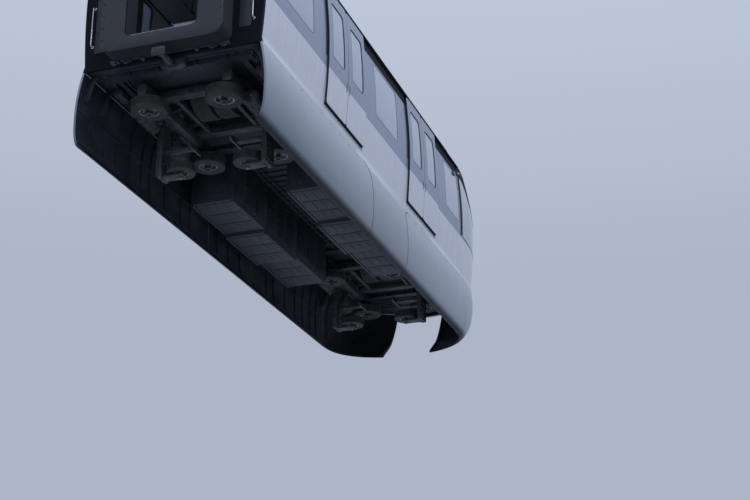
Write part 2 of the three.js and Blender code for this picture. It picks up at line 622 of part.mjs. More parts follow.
const frameHalf = bogieHalf();
const crossBeams = [-1, 1].map((end) => block(
  around(end * CROSS_BEAM.x, CROSS_BEAM.half[0]), around(0, CROSS_BEAM.half[1]), CROSS_BEAM.z,
));
const axleHoles = [-1, 1].map((sign) => rod(
  'y', [0, sign * 420, LOAD_WHEEL.radius], AXLE.radius + AXLE.clear, 80, SMALL_SIDES,
));
const bogieFrame = cut(joined([frameHalf, mirrored(frameHalf, -1), ...crossBeams]), axleHoles);
const loadAxle = joined([
  rod('y', [0, 0, 0], AXLE.radius, 2 * AXLE.half, SMALL_SIDES),
  rod('y', [0, 0, 0], AXLE.hub, 2 * LOAD_WHEEL.y, SMALL_SIDES),
  ...[-1, 1].map((sign) => (
    wheelBody(LOAD_WHEEL, AXLE.radius - 10, LOAD_SIDES).translate([0, sign * LOAD_WHEEL.y, 0])
  )),
]);
const guideWheel = upright(wheelBody(GUIDE_WHEEL, GUIDE_WHEEL.bore, SMALL_SIDES));
const steadyingWheel = upright(wheelBody(STEADY_WHEEL, STEADY_WHEEL.bore, SMALL_SIDES));

for (const [place, x] of BOGIES) {
  piece(`bogie_frame_${place}`, bogieFrame, FINISH.steel, [x, 0, 0]);
  piece(`load_axle_${place}`, loadAxle, FINISH.tyre, [x, 0, LOAD_WHEEL.radius]);
  for (const [side, sign] of SIDES) {
    const guideY = sign * (BEAM_HALF + GUIDE_WHEEL.radius);
    const steadyY = sign * (BEAM_HALF + STEADY_WHEEL.radius);
    for (const [end, way] of [['rear', -1], ['front', 1]]) {
      const at = [x + way * GUIDE_WHEEL.x, guideY, GUIDE_WHEEL.z];
      piece(`guide_wheel_${place}_${end}_${side}`, guideWheel, FINISH.tyre, at);
    }
    piece(`steadying_wheel_${place}_${side}`, steadyingWheel, FINISH.tyre, [x, steadyY, STEADY_WHEEL.z]);
  }
}

export default group;
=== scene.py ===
"""Finish of a straddle monorail car: body panels, glass, doors, running gear and a plain stage.

Metres, +X to the nose, +Y left, +Z up. The origin is on the beam's top, midway between the bogies.
"""

from itertools import product
from math import ceil, cos, pi, radians, sin, sqrt

import bmesh
import bpy
import numpy as np
from mathutils import Matrix, Vector
from mathutils.geometry import delaunay_2d_cdt


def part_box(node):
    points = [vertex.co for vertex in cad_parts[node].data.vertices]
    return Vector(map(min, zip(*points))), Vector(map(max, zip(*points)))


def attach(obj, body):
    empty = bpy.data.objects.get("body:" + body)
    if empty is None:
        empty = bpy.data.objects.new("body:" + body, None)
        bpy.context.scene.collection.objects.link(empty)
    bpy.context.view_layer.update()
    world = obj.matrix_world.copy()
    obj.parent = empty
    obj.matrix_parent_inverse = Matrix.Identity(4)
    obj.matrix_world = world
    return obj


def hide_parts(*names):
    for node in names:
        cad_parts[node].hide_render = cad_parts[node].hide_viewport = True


bl_info = {
    "name": "Straddle monorail car",
    "version": (1, 0, 0),
    "blender": (4, 5, 0),
    "location": "View3D > Sidebar > Monorail",
    "description": "Builds the finished pieces of a straddle monorail car round its frame",
    "category": "Object",
}

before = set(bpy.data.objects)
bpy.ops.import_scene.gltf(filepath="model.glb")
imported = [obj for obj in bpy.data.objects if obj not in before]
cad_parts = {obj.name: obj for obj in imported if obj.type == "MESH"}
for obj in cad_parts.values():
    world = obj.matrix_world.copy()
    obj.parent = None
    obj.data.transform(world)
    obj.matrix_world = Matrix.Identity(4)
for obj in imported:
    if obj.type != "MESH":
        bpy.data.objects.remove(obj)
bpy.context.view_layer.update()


# Places along the car and up its side, from the frame where a node gives them
def low_high(node, axis):
    low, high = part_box(node)
    return low["xyz".index(axis)], high["xyz".index(axis)]


REAR = low_high("rear_end_wall", "x")[0]
MASK = low_high("side_wall_right", "x")[1] + 0.003  # where the nose begins
SEAM = 0.21  # height between the body and the covers
CANT = low_high("side_wall_right", "z")[1]
FLOOR = low_high("underframe", "z")[1]
SILL = 0.215  # underside of the floor
BOTTOM = low_high("bogie_cover_front_right", "z")[0]
WALL = 0.06  # thickness of the walls, the roof and the nose
SKIRT = 0.035  # thickness of the covers and the apron
GAP = 0.006
BOLT = 0.016
SIDES = {"left": 1, "right": -1}
SIGNS = (1, -1)
BOGIES = {"rear": -3.9, "front": 3.9}
DOORWAYS = {"rear": -2.11, "front": 2.11}
WINDOW = {"low": 1.36, "high": 2.415, "corner": 0.09}
PANES = {"rear": (-5.1, -3.6), "middle": (-0.62, 0.6), "front": (3.66, 4.62)}
COVERS = {
    # Where each ends along the car, outside and inboard
    "rear": (REAR, -0.88),
    "front": (MASK, 1.0),
}
COVER_CORNER = 0.28  # radius
HANGERS = {"rear": (-5.38, -4.9, -2.9, -2.35, -1.3), "front": (1.4, 2.35, 2.9, 4.5)}
DOOR_CLEAR = 0.82  # half the opening in the wall behind two leaves
DOOR_RAIL = {"low": 2.652, "high": 2.680, "reach": 0.05, "ends": (-3.9, 3.9)}
LEAF = {
    "width": 0.9, "low": 0.432, "high": 2.64, "corner": 0.06, "depth": (0.008, 0.042), "window": (0.16, 0.73),
}
ROOF_EDGE = 2.86  # height of the roof's dark edge
SLOT = (0.52, 0.09)  # half width and height of the apron's cut-out over the beam
BAND = ((4.775, 1.13), (4.775, 2.56), (4.95, 2.64))  # x and height of the glass band's edge, from the side
BAND_FRONT = ((6.2, 1.01), 1.0, 2.64)
LAMP = ((0.62, 0.62), (1.12, 0.66), (1.16, 0.80), (0.66, 0.80))  # y and height, from the front
BEAM_HALF = 0.345  # half the width of the beam
LOAD_Y = 0.172  # the middle of a load tyre
AXLE = {"radius": 0.062, "half": 0.455, "hub": 0.12}
GUIDE = {"x": 1.05, "z": -0.25}  # from the bogie's middle
STEADY = {"z": -0.85}
WHEELS = {
    # Radius, width, rim radius, bore, groove width
    "load": (0.475, 0.295, 0.275, 0.052, 0.012),
    "guide": (0.290, 0.190, 0.150, 0.042, 0.008),
    "steadying": (0.235, 0.150, 0.120, 0.042, 0.008),
}
PASSAGE = {"half": 0.56, "low": 0.452, "high": 2.36, "corner": 0.09}


# Form of the body
SECTION = (
    # Half width and height of each curve's control points, from the crown down
    ((0.0, 3.03), (0.76, 3.03), (1.425, 2.99), (1.45, 2.70)),
    ((1.45, 2.70), (1.47, 2.45), (1.50, 2.10)),
    ((1.50, 2.10), (1.56, 1.34), (1.487, 0.45)),
    ((1.487, 0.45), (1.475, 0.30)),
    ((1.475, 0.30), (1.50, 0.21)),
    ((1.50, 0.21), (1.60, -0.17), (1.588, -0.60)),
    ((1.588, -0.60), (1.582, -1.08), (1.44, -1.08)),
)
NOSE = np.array([
    # Height, where the side starts to curve in, tip
    (-1.08, 4.36, 5.70),
    (-0.60, 4.66, 6.28),
    (0.20, 4.90, 6.74),
    (0.90, 5.04, 6.84),
    (1.40, 5.15, 6.84),
    (2.00, 5.22, 6.72),
    (2.50, 5.05, 6.30),
    (2.80, 4.74, 5.90),
    (3.03, 4.30, 5.30),
])
NOSE_FULLNESS = 3  # power of the plan's curve
NOSE_HALF = 2.6  # flat width that half of the nose is drawn with
SECTION_STEPS = 60
PLAN_STEPS = 160
TINY = 1e-12  # keeps a division from zero


def curve_points(controls, steps):
    """Points of a Bezier curve of any degree, without its first one."""
    t = np.linspace(0, 1, steps + 1)[1:, None, None]
    points = np.repeat(np.array(controls)[None], steps, axis=0)
    while points.shape[1] > 1:
        points = points[:, :-1] * (1 - t) + points[:, 1:] * t
    return points[:, 0]


SECTION_LINE = np.vstack([[SECTION[0][0]], *(curve_points(c, SECTION_STEPS) for c in SECTION)])
DOWN = np.concatenate([[0], np.cumsum(np.hypot(*np.diff(SECTION_LINE, axis=0).T))])


def section_at(down):
    """Half width and height of the body, at a distance down its side from the crown."""
    return np.interp(down, DOWN, SECTION_LINE[:, 0]), np.interp(down, DOWN, SECTION_LINE[:, 1])


def down_to(height):
    """Distance from the crown down the side to a height."""
    return np.interp(-np.asarray(height, float), -SECTION_LINE[:, 1], DOWN)


def nose_reach(height):
    """Where the side starts to curve in at a height, and where the tip is."""
    rows = NOSE[:, 0]
    i = np.clip(np.searchsorted(rows, height) - 1, 0, len(rows) - 2)
    span = rows[i + 1] - rows[i]
    t = np.clip((height - rows[i]) / span, 0, 1)
    found = []
    for values in (NOSE[:, 1], NOSE[:, 2]):
        ends = np.arange(len(rows))
        after, before = np.minimum(ends + 1, len(rows) - 1), np.maximum(ends - 1, 0)
        slope = (values[after] - values[before]) / (rows[after] - rows[before])
        found.append(
            (2 * t**3 - 3 * t**2 + 1) * values[i]
            + (t**3 - 2 * t**2 + t) * slope[i] * span
            + (3 * t**2 - 2 * t**3) * values[i + 1]
            + (t**3 - t**2) * slope[i + 1] * span
        )
    return found


def side_surface(x, around):
    """Points by their place along the car and the distance round it from the crown, left positive."""
    half, height = section_at(np.abs(around))
    start, tip = nose_reach(height)
    ratio = np.clip((x - start) / (tip - start), 0, 1)
    y = np.sign(around) * half * np.sqrt(1 - ratio**NOSE_FULLNESS)
    return np.stack(np.broadcast_arrays(x, y, height), axis=-1)


def look_up(keys, values, wanted):
    """Row by row, the value between two columns of a table whose keys rise."""
    i = np.clip((keys < wanted[:, None]).sum(axis=1), 1, keys.shape[1] - 1)
    rows = np.arange(len(wanted))
    low, high = keys[rows, i - 1], keys[rows, i]
    t = np.clip((wanted - low) / np.maximum(high - low, TINY), 0, 1)
    return values[rows, i - 1] * (1 - t) + values[rows, i] * t


def plan_of_nose(down):
    """At each distance down the side: half width, height, start and tip, and the plan curve's turns, x,
    lengths and whole length."""
    half, height = section_at(down)
    start, tip = nose_reach(height)
    turns = np.linspace(0, pi / 2, PLAN_STEPS)[None]
    cosine = np.maximum(np.cos(turns), 0)
    x = start[:, None] + (tip - start)[:, None] * cosine ** (2 / NOSE_FULLNESS)
    y = half[:, None] * np.sin(turns)
    steps = np.hypot(np.diff(x, axis=1), np.diff(y, axis=1))
    lengths = np.concatenate([np.zeros((len(x), 1)), np.cumsum(steps, axis=1)], axis=1)
    straight = lengths[:, -1] + start - MASK
    total = np.where(start > MASK, straight, look_up(-x, lengths, np.full(len(x), -MASK)))
    return half, height, start, tip, np.repeat(turns, len(x), axis=0), x, lengths, total


def nose_surface(sideways, down):
    """Points of the nose by the flat distance from its middle, left positive, and down from the crown."""
    sideways, down = (np.atleast_1d(np.asarray(v, float)) for v in (sideways, down))
    half, height, start, tip, turns, _, lengths, total = plan_of_nose(down)
    length = np.abs(sideways) / NOSE_HALF * total
    turn = look_up(lengths, turns, length)
    beyond = np.maximum(length - lengths[:, -1], 0)
    ratio = np.maximum(np.cos(turn), 0) ** (2 / NOSE_FULLNESS)
    x = np.where(beyond > 0, start - beyond, start + (tip - start) * ratio)
    y = np.sign(sideways) * half * np.where(beyond > 0, 1, np.sin(turn))
    return np.stack([x, y, height], axis=-1)


def nose_flat(points, side=1):
    """Flat places on the nose of points seen from the side, given as x and height."""
    x, height = np.array(points, float).T
    down = down_to(height)
    _, _, start, _, _, xs, lengths, total = plan_of_nose(down)
    length = np.where(x < start, lengths[:, -1] + start - x, look_up(-xs, lengths, -x))
    return np.stack([side * length / total * NOSE_HALF, -down], axis=-1)


def nose_flat_front(points):
    """Flat places on the nose of points seen from the front, given as y and height."""
    y, height = np.array(points, float).T
    down = down_to(height)
    half, _, _, _, turns, _, lengths, total = plan_of_nose(down)
    turn = np.arcsin(np.clip(np.abs(y) / half, 0, 1))
    return np.stack([np.sign(y) * look_up(turns, lengths, turn) / total * NOSE_HALF, -down], axis=-1)


class Skin:
    """A curved surface that flat outlines are laid on, with places given along and up, as far as upper."""

    NUDGE = 0.006

    def __init__(self, points, upper=None):
        self.points = points
        self.upper = upper

    def normals(self, flat):
        a, b = flat.T
        if self.upper is not None:
            b = np.minimum(b, self.upper - self.NUDGE * 4)
        along = self.points(a + self.NUDGE, b) - self.points(a - self.NUDGE, b)
        up = self.points(a, b + self.NUDGE) - self.points(a, b - self.NUDGE)
        normal = np.cross(along, up)
        return normal / np.maximum(np.linalg.norm(normal, axis=1, keepdims=True), TINY)

    def at(self, flat, out):
        return self.points(flat[:, 0], flat[:, 1]) + self.normals(flat) * out


def side_skin(sign):
    return Skin(lambda along, up: side_surface(-sign * along, -sign * up))


SIDE_SKINS = {side: side_skin(sign) for side, sign in SIDES.items()}
ROOF_SKIN = Skin(side_surface)
NOSE_SKIN = Skin(lambda sideways, up: nose_surface(sideways, -up), upper=0)


def side_flat(points, side):
    """Flat places on a side of points given as x and height."""
    x, height = np.array(points, float).T
    return np.stack([-SIDES[side] * x, -down_to(height)], axis=-1)


# Sheets laid on a surface
def signed_area(loop):
    x, y = loop.T
    return 0.5 * np.sum(x * np.roll(y, -1) - np.roll(x, -1) * y)


def turned(loop, way):
    """The loop as an array, running anticlockwise for way 1 and clockwise for way -1."""
    loop = np.array(loop, float)
    return loop if signed_area(loop) * way > 0 else loop[::-1]


def subdivided(loop, spacing):
    """The loop with points added so that no side is longer than the spacing."""
    rows = []
    for a, b in zip(loop, np.roll(loop, -1, axis=0)):
        count = max(1, ceil(np.max(np.abs(b - a) / spacing)))
        rows.append(a + (b - a) * np.linspace(0, 1, count, endpoint=False)[:, None])
    return np.vstack(rows)


def moved_in(loop, distance):
    """The loop with each point moved to its left, so that every side moves by the distance."""
    sides = np.roll(loop, -1, axis=0) - loop
    sides /= np.linalg.norm(sides, axis=1, keepdims=True)
    left = np.stack([-sides[:, 1], sides[:, 0]], axis=-1)
    both = left + np.roll(left, 1, axis=0)
    return loop + both * 2 * distance / np.maximum((both**2).sum(axis=1, keepdims=True), 0.5)


def within(points, loop):
    """Which of the points lie inside a loop."""
    (x, y), (ax, ay), (bx, by) = points.T, loop.T, np.roll(loop, -1, axis=0).T
    x, y = x[:, None], y[:, None]
    across = (ay > y) != (by > y)
    rise = np.where(by == ay, 1, by - ay)
    return (across & (x < ax + (y - ay) * (bx - ax) / rise)).sum(axis=1) % 2 == 1


def near(points, loop, distance):
    """Which of the points lie nearer to a loop's sides than the distance."""
    a, b = loop, np.roll(loop, -1, axis=0)
    side = b - a
    t = ((points[:, None] - a) * side).sum(axis=2) / (side**2).sum(axis=1)
    gap = points[:, None] - a - np.clip(t, 0, 1)[..., None] * side
    return (np.hypot(gap[..., 0], gap[..., 1]) < distance).any(axis=1)


RIM_TURNS = (pi / 4, pi / 2)  # the steps of a rim's rounding
RIM_FREE = 0.4  # how much of a step the inner points keep from a rim


def sheet(skin, outline, holes, depth, step=(0.4, 0.07), edge=0.004):
    """A closed sheet on a surface between two depths, with rounded outer rims.

    Gives its points, faces, the normal at each corner of each face, and how many faces its front has.
    The faces of its back come straight after those of its front.
    """
    spacing = np.array(step)
    loops = [subdivided(turned(outline, 1), spacing)]
    loops += [subdivided(turned(hole, -1), spacing) for hole in holes]
    inner_loops = [moved_in(loop, edge) for loop in loops]
    low, high = inner_loops[0].min(axis=0), inner_loops[0].max(axis=0)
    axes = [np.arange(low[i] + step[i] / 2, high[i], step[i]) for i in (0, 1)]
    grid = np.stack(np.meshgrid(*axes), axis=-1).reshape(-1, 2)
    grid = grid[within(grid, inner_loops[0])]
    for loop in inner_loops:
        if len(grid):
            grid = grid[~near(grid / spacing, loop / spacing, RIM_FREE)]
    for loop in inner_loops[1:]:
        if len(grid):
            grid = grid[~within(grid, loop)]
    counts = [len(loop) for loop in inner_loops]
    firsts = np.cumsum([0, *counts])
    flat = np.vstack([*inner_loops, grid])
    rims = [list(range(first, first + n)) for first, n in zip(firsts, counts)]
    rims[1:] = [rim[::-1] for rim in rims[1:]]
    found = delaunay_2d_cdt([Vector(p) for p in flat / spacing], [], rims, 1, 1e-7, True)
    faces = [face for face, parents in zip(found[2], found[5]) if parents == [0]]
    faces = np.array([[found[3][i][0] for i in face] for face in faces])

    normals = skin.normals(flat)
    base = skin.points(*flat.T)
    points = [base + normals * depth[1], base + normals * depth[0]]
    count = len(flat)
    corner_normals = [normals[faces].reshape(-1, 3), -normals[faces[:, ::-1]].reshape(-1, 3)]
    all_faces = [faces, faces[:, ::-1] + count]
    total = 2 * count
    for loop, inner, first in zip(loops, inner_loops, firsts):
        n = len(loop)
        on_skin = skin.normals(loop)
        outward = skin.points(*loop.T) - skin.points(*inner.T)
        outward -= on_skin * (outward * on_skin).sum(axis=1, keepdims=True)
        outward /= np.linalg.norm(outward, axis=1, keepdims=True)
        rows, bends = [first + np.arange(n)], [on_skin]
        for turn in RIM_TURNS:
            place = inner + (loop - inner) * sin(turn)
            points.append(skin.at(place, depth[1] - edge * (1 - cos(turn))))
            rows.append(total + np.arange(n))
            bends.append(on_skin * cos(turn) + outward * sin(turn))
            total += n
        points.append(skin.at(loop, depth[0]))
        rows.append(total + np.arange(n))
        bends.append(outward)
        total += n
        nexts = np.roll(np.arange(n), -1)
        for (upper, bend_up), (lower, bend_down) in zip(zip(rows, bends), zip(rows[1:], bends[1:])):
            all_faces.append(np.stack([upper, lower, lower[nexts], upper[nexts]], axis=-1))
            bent = np.stack([bend_up, bend_down, bend_down[nexts], bend_up[nexts]], axis=1)
            corner_normals.append(bent.reshape(-1, 3))
        back = first + count + np.arange(n)
        all_faces.append(np.stack([rows[-1], back, back[nexts], rows[-1][nexts]], axis=-1))
        under = np.stack([-on_skin, -on_skin, -on_skin[nexts], -on_skin[nexts]], axis=1)
        corner_normals.append(under.reshape(-1, 3))
    listed = [face for group in all_faces for face in group.tolist()]
    return np.vstack(points), listed, np.vstack(corner_normals), len(faces)


def lay(name, sheets, material, node=None, inside=None, body="car_body"):
    """One object of sheets, which rides on a body. Their backs can have a material of their own."""
    points, faces, normals, backs, first = [], [], [], [], 0
    for sheet_points, sheet_faces, sheet_normals, fronts in sheets:
        backs += range(len(faces) + fronts, len(faces) + 2 * fronts)
        points.append(sheet_points)
        faces += [[first + i for i in face] for face in sheet_faces]
        normals.append(sheet_normals)
        first += len(sheet_points)
    mesh = bpy.data.meshes.new(name)
    mesh.from_pydata(np.vstack(points).tolist(), [], faces)
    mesh.polygons.foreach_set("use_smooth", [True] * len(mesh.polygons))
    mesh.normals_split_custom_set(np.vstack(normals).tolist())
    item = finished(name, mesh, material, node, body)
    if inside:
        mesh.materials.append(finish_of(inside))
        for i in backs:
            mesh.polygons[i].material_index = 1
    return item


def finished(name, mesh, material, node, body):
    """An object of the mesh with its material, body and the node that it stands for."""
    item = bpy.data.objects.new(name, mesh)
    bpy.context.scene.collection.objects.link(item)
    mesh.materials.append(finish_of(material))
    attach(item, body)
    if node:
        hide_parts(node)
    return item


# Small solids gathered into one mesh
def circle(count, radius=1.0, start=0.0):
    """Points round a circle about the origin."""
    turns = [start + 2 * pi * k / count for k in range(count)]
    return [(radius * cos(t), radius * sin(t)) for t in turns]


class Kit:
    SMOOTH_UNDER = radians(35)

    def __init__(self):
        self.mesh = bmesh.new()

    def solid(self, rings, bevel=0.0, closed=False):
        """A solid through rings of points, capped at its ends or closed on itself, with rounded edges."""
        rows = [[self.mesh.verts.new(p) for p in ring] for ring in rings]
        faces = []
        for low, high in zip(rows, rows[1:] + rows[:closed]):
            for a, b, c, d in zip(low, low[1:] + low[:1], high[1:] + high[:1], high):
                faces.append(self.mesh.faces.new((a, b, c, d)))
        if not closed:
            faces += [self.mesh.faces.new(rows[0][::-1]), self.mesh.faces.new(rows[-1])]
        bmesh.ops.recalc_face_normals(self.mesh, faces=faces)
        if bevel:
            edges = {e for face in faces for e in face.edges if e.calc_face_angle(0) > self.SMOOTH_UNDER}
            settings = {"offset": bevel, "segments": 2, "profile": 0.5, "affect": "EDGES"}
            bmesh.ops.bevel(self.mesh, geom=list(edges), **settings)
        return self

    def tube_wall(self, outer, inner, bevel=0.0):
        """A tube whose outer and inner faces go through two lists of rings, each with as many points."""
        return self.solid([*outer, *inner[::-1]], bevel, closed=True)

    def block(self, a, b, bevel=0.004):
        """A box between two corners, in any order."""
        (x0, x1), (y0, y1), (z0, z1) = (sorted(pair) for pair in zip(a, b))
        corners = ((x0, y0), (x1, y0), (x1, y1), (x0, y1))
        return self.solid([[(x, y, z) for x, y in corners] for z in (z0, z1)], bevel)

    def prism(self, outline, axis, low, high, bevel=0.0):
        """An outline pushed along an axis. Its two coordinates are the other two axes, in order."""
        at = "xyz".index(axis)
        return self.solid([[(*p[:at], along, *p[at:]) for p in outline] for along in (low, high)], bevel)

    def rod(self, start, end, radius, sides, bevel=0.0, end_radius=None):
        start, end = Vector(start), Vector(end)
        across = (end - start).to_track_quat("Z", "Y").to_matrix()
        rings = [
            [place + across @ Vector((a * r, b * r, 0)) for a, b in circle(sides, 1.0, pi / sides)]
            for place, r in ((start, radius), (end, end_radius or radius))
        ]
        return self.solid(rings, bevel)

    def pipe(self, points, radius, sides=10, closed=False):
        """A bent pipe through points, with a ring across the bend at each."""
        points = [Vector(p) for p in points]
        before = points[-1:] + points[:-1] if closed else points[:1] + points[:-1]
        after = points[1:] + (points[:1] if closed else points[-1:])
        rings, side = [], None
        for p, a, b in zip(points, before, after):
            ahead = (b - a).normalized()
            side = side or ahead.orthogonal()
            side = (side - ahead * side.dot(ahead)).normalized()
            up = ahead.cross(side)
            rings.append([p + side * u + up * v for u, v in circle(sides, radius)])
        return self.solid(rings, closed=closed)

    def spun(self, profile, centre, axis, sides):
        """A closed profile of (radius, along) turned about an axis through a point."""
        centre = Vector(centre)
        u, v, w = {"x": (1, 2, 0), "y": (2, 0, 1), "z": (0, 1, 2)}[axis]
        rings = []
        for a, b in circle(sides):
            ring = [centre.copy() for _ in profile]
            for p, (r, along) in zip(ring, profile):
                p[u] += r * a
                p[v] += r * b
                p[w] += along
            rings.append(ring)
        return self.solid(rings, closed=True)

    def fan_blade(self, centre, turn, inner, outer):
        """A twisted blade that points out from a centre."""
        pitch, thick = 0.5, 0.004
        out = Vector((cos(turn), sin(turn), 0))
        corners = ((-1, -1), (1, -1), (1, 1), (-1, 1))
        rings = []
        for t in np.linspace(0, 1, 6).tolist():
            tilt = pitch * (1.2 - 0.5 * t)
            wide = 0.05 + 0.05 * t
            across = Vector((-out.y, out.x, 0)) * cos(tilt) + Vector((0, 0, 1)) * sin(tilt)
            flat = across.cross(out) * thick / 2
            p = Vector(centre) + out * (inner + (outer - inner) * t)
            rings.append([p + across * a * wide / 2 + flat * b for a, b in corners])
        return self.solid(rings)

    def bowl(self, back, ahead, radius, depth):
        """A hollow reflector that opens ahead, from the middle of its back."""
        across = ahead.to_track_quat("Z", "Y").to_matrix()
        profile = [(radius * (1 - t), depth * (1 - (1 - t) ** 2)) for t in np.linspace(0, 0.82, 7).tolist()]
        profile += [(radius * 0.18, -0.001), (radius + 0.002, -0.001), (radius + 0.002, depth)]
        rings = [[back + across @ Vector((a * r, b * r, h)) for r, h in profile] for a, b in circle(32)]
        return self.solid(rings, closed=True)

    def bolt(self, place, axis, size, way):
        """A hexagon head on its washer. Size is across the flats."""
        place, along = Vector(place), Vector([float(a == axis) * way for a in "xyz"])
        self.rod(place - along * 0.002, place + along * 0.003, size * 0.95, 16)
        return self.rod(place, place + along * size * 0.65, size * 0.577, 6)

    def bolts(self, xs, ys, zs, axis, size=BOLT, way=1):
        """Bolts at every crossing of three lists of places."""
        for place in product(xs, ys, zs):
            self.bolt(place, axis, size, way)

    def object(self, name, material, slot=None, node=None, body="car_body"):
        mesh = bpy.data.meshes.new(name)
        self.mesh.to_mesh(mesh)
        self.mesh.free()
        mesh.polygons.foreach_set("use_smooth", [True] * len(mesh.polygons))
        mesh.set_sharp_from_angle(angle=self.SMOOTH_UNDER)
        return finished(name, mesh, material, node, body)


# Colours and materials
MM = 0.001
NOISE_ROUGHNESS = 0.55
FOOT_SHADE_HEIGHTS = (-0.945, -1.045)  # heights between which the skirt's paint gives way to a near-black foot of painted shade, where the skirt curls under
MADE = {}


def linear(code):
    """A colour written as an sRGB hex code, as linear red, green, blue and one."""
    parts = [int(code[i:i + 2], 16) / 255 for i in (1, 3, 5)]
    return (*(c / 12.92 if c <= 0.04045 else ((c + 0.055) / 1.055) ** 2.4 for c in parts), 1.0)


def shade(colour, times):
    """The colour made lighter or darker by a factor."""
    return [c * times for c in colour[:3]] + [1.0]


class Nodes:
    """The nodes of a new material or world, with its shader and the place on the object in metres."""

    def __init__(self, block, shader="Principled BSDF", place="Object"):
        block.use_nodes = True
        self.block = block
        self.tree = block.node_tree
        self.shader = self.tree.nodes[shader]
        self.place = self.add("TexCoord", output=place)

    def add(self, kind, *inputs, output=None, **settings):
        """Adds a node with its settings and links, inputs in order, and gives its first or named output."""
        node = self.tree.nodes.new("ShaderNode" + kind)
        for name, value in settings.items():
            setattr(node, name, value)
        for socket, value in zip((s for s in node.inputs if s.enabled), inputs):
            self.put(socket, value)
        return next(s for s in node.outputs if s.enabled and output in (None, s.name))

    def put(self, socket, value):
        """Links the value or sets it. None leaves the socket as it is."""
        if isinstance(value, bpy.types.NodeSocket):
            self.tree.links.new(value, socket)
        elif value is not None:
            socket.default_value = value

    def set(self, **inputs):
        """Links or sets inputs of the shader."""
        for name, value in inputs.items():
            self.put(self.shader.inputs[name.replace("_", " ")], value)

    def at(self, size, stretch=(1, 1, 1)):
        """The place in steps of a size in millimetres, drawn out along an axis by stretch."""
        return self.add("Mapping", self.place, None, None, [1 / (size * MM * s) for s in stretch])


def new_material(name, **inputs):
    made = Nodes(bpy.data.materials.new(name))
    made.set(**inputs)
    return made


def finish_of(make):
    """The material that a function makes, made once."""
    if make not in MADE:
        MADE[make] = make().block
    return MADE[make]


def mottled(name, low, high, rough, size, detail=4.0, stretch=(1, 1, 1), share=(0, 1), skin=None, **fixed):
    """A material whose colour and roughness follow one noise, of a size in millimetres.

    The colours are hex codes or linear ones. The skin, if any, is a finer noise in the normal: its size and
    depth in millimetres, its detail and its strength.
    """
    m = new_material(name, **fixed)
    tone = m.add("TexNoise", m.at(size, stretch), 1.0, detail, NOISE_ROUGHNESS)
    ends = (linear(c) if isinstance(c, str) else c for c in (low, high))
    m.set(Base_Color=m.add("Mix", m.add("MapRange", tone, *share), *ends, data_type="RGBA"),
          Roughness=m.add("MapRange", tone, 0.3, 0.8, *rough))
    if skin:
        size, depth, detail, strength = skin
        fine = m.add("TexNoise", m.at(size), 1.0, detail, NOISE_ROUGHNESS)
        m.set(Normal=m.add("Bump", strength, depth * MM, None, fine))
    return m


def wet_paint(name, colour, roughness, metallic):
    """Two-pack polyurethane sprayed on a smooth panel: clear gloss, faint orange peel, film of road dirt.

    Below the seam it has the skirt's colour, darker towards the bottom with road dirt and painted shade, and
    a near-black foot of painted shade.
    """
    m = new_material(name, IOR=1.5, Metallic=metallic, Coat_Roughness=0.12)
    streaks = m.add("TexNoise", m.at(160, (0.35, 1, 5)), 1.0, 5.0, NOISE_ROUGHNESS)
    clouds = m.add("TexNoise", m.at(1100, (2.5, 1, 1)), 1.0, 3.0, NOISE_ROUGHNESS)
    dirt = m.add("MapRange", m.add("Math", streaks, clouds, operation="MULTIPLY"), 0.16, 0.42)
    share = m.add("Math", dirt, 0.5, operation="MULTIPLY")
    paint = m.add("Mix", share, colour, shade(colour, 0.82), data_type="RGBA")
    along, height = (m.add("SeparateXYZ", m.place, output=axis) for axis in "XZ")
    # Towards the bottom, and more towards the rear, the skirt darkens to the film's colour: partly road dirt,
    # partly painted shade
    wavering = m.add("Math", height, m.add("MapRange", clouds, 0.2, 0.8, -0.12, 0.12))
    sprayed = m.add("MapRange", along, REAR, MASK, 0.95, 0.5)
    dulled = m.add("Math", m.add("MapRange", wavering, SEAM, BOTTOM), sprayed, operation="MULTIPLY")
    below = m.add("Mix", dulled, colours().skirt, colours().road_film_and_shade, data_type="RGBA")
    # The near-black foot is painted shade, where the skirt curls under and faces the ground
    foot = m.add("MapRange", height, *FOOT_SHADE_HEIGHTS)
    below = m.add("Mix", foot, below, colours().foot_shade, data_type="RGBA")
    above = m.add("MapRange", height, SEAM - 0.05, SEAM)
    peel = m.add("TexNoise", m.at(6), 1.0, 2.0, NOISE_ROUGHNESS)
    m.set(Base_Color=m.add("Mix", above, below, paint, data_type="RGBA"),
          Coat_Weight=m.add("MapRange", foot, 0, 1, 0.35, 0.0),
          Specular_IOR_Level=m.add("MapRange", foot, 0, 1, 0.5, 0.25),
          Roughness=m.add("MapRange", dirt, 0, 1, roughness, roughness + 0.14),
          Normal=m.add("Bump", 0.25, 0.15 * MM, None, peel))
    return m


class MonorailSizes(bpy.types.PropertyGroup):
    """Sizes that a user may change"""

    band_low: bpy.props.FloatProperty(
        name="Band underside", description="Height of the band's lower edge", default=1.08, unit="LENGTH",
    )
    gasket: bpy.props.FloatProperty(
        name="Gasket", description="Width of the rubber round each pane", default=0.014, unit="LENGTH",
    )
    bellows_folds: bpy.props.IntProperty(
        name="Folds", description="Folds of the gangway bellows", default=9, min=4,
    )
    tread_grooves: bpy.props.IntProperty(
        name="Tread grooves", description="Grooves round each tyre", default=4, min=0,
    )
    floor_height: bpy.props.FloatProperty(
        name="Ground", description="Height of the ground under the car", default=-11.15, unit="LENGTH",
    )


def colour_property(name, description, code):
    return bpy.props.FloatVectorProperty(
        name=name, description=description, default=linear(code), subtype="COLOR", size=4, min=0, max=1,
    )


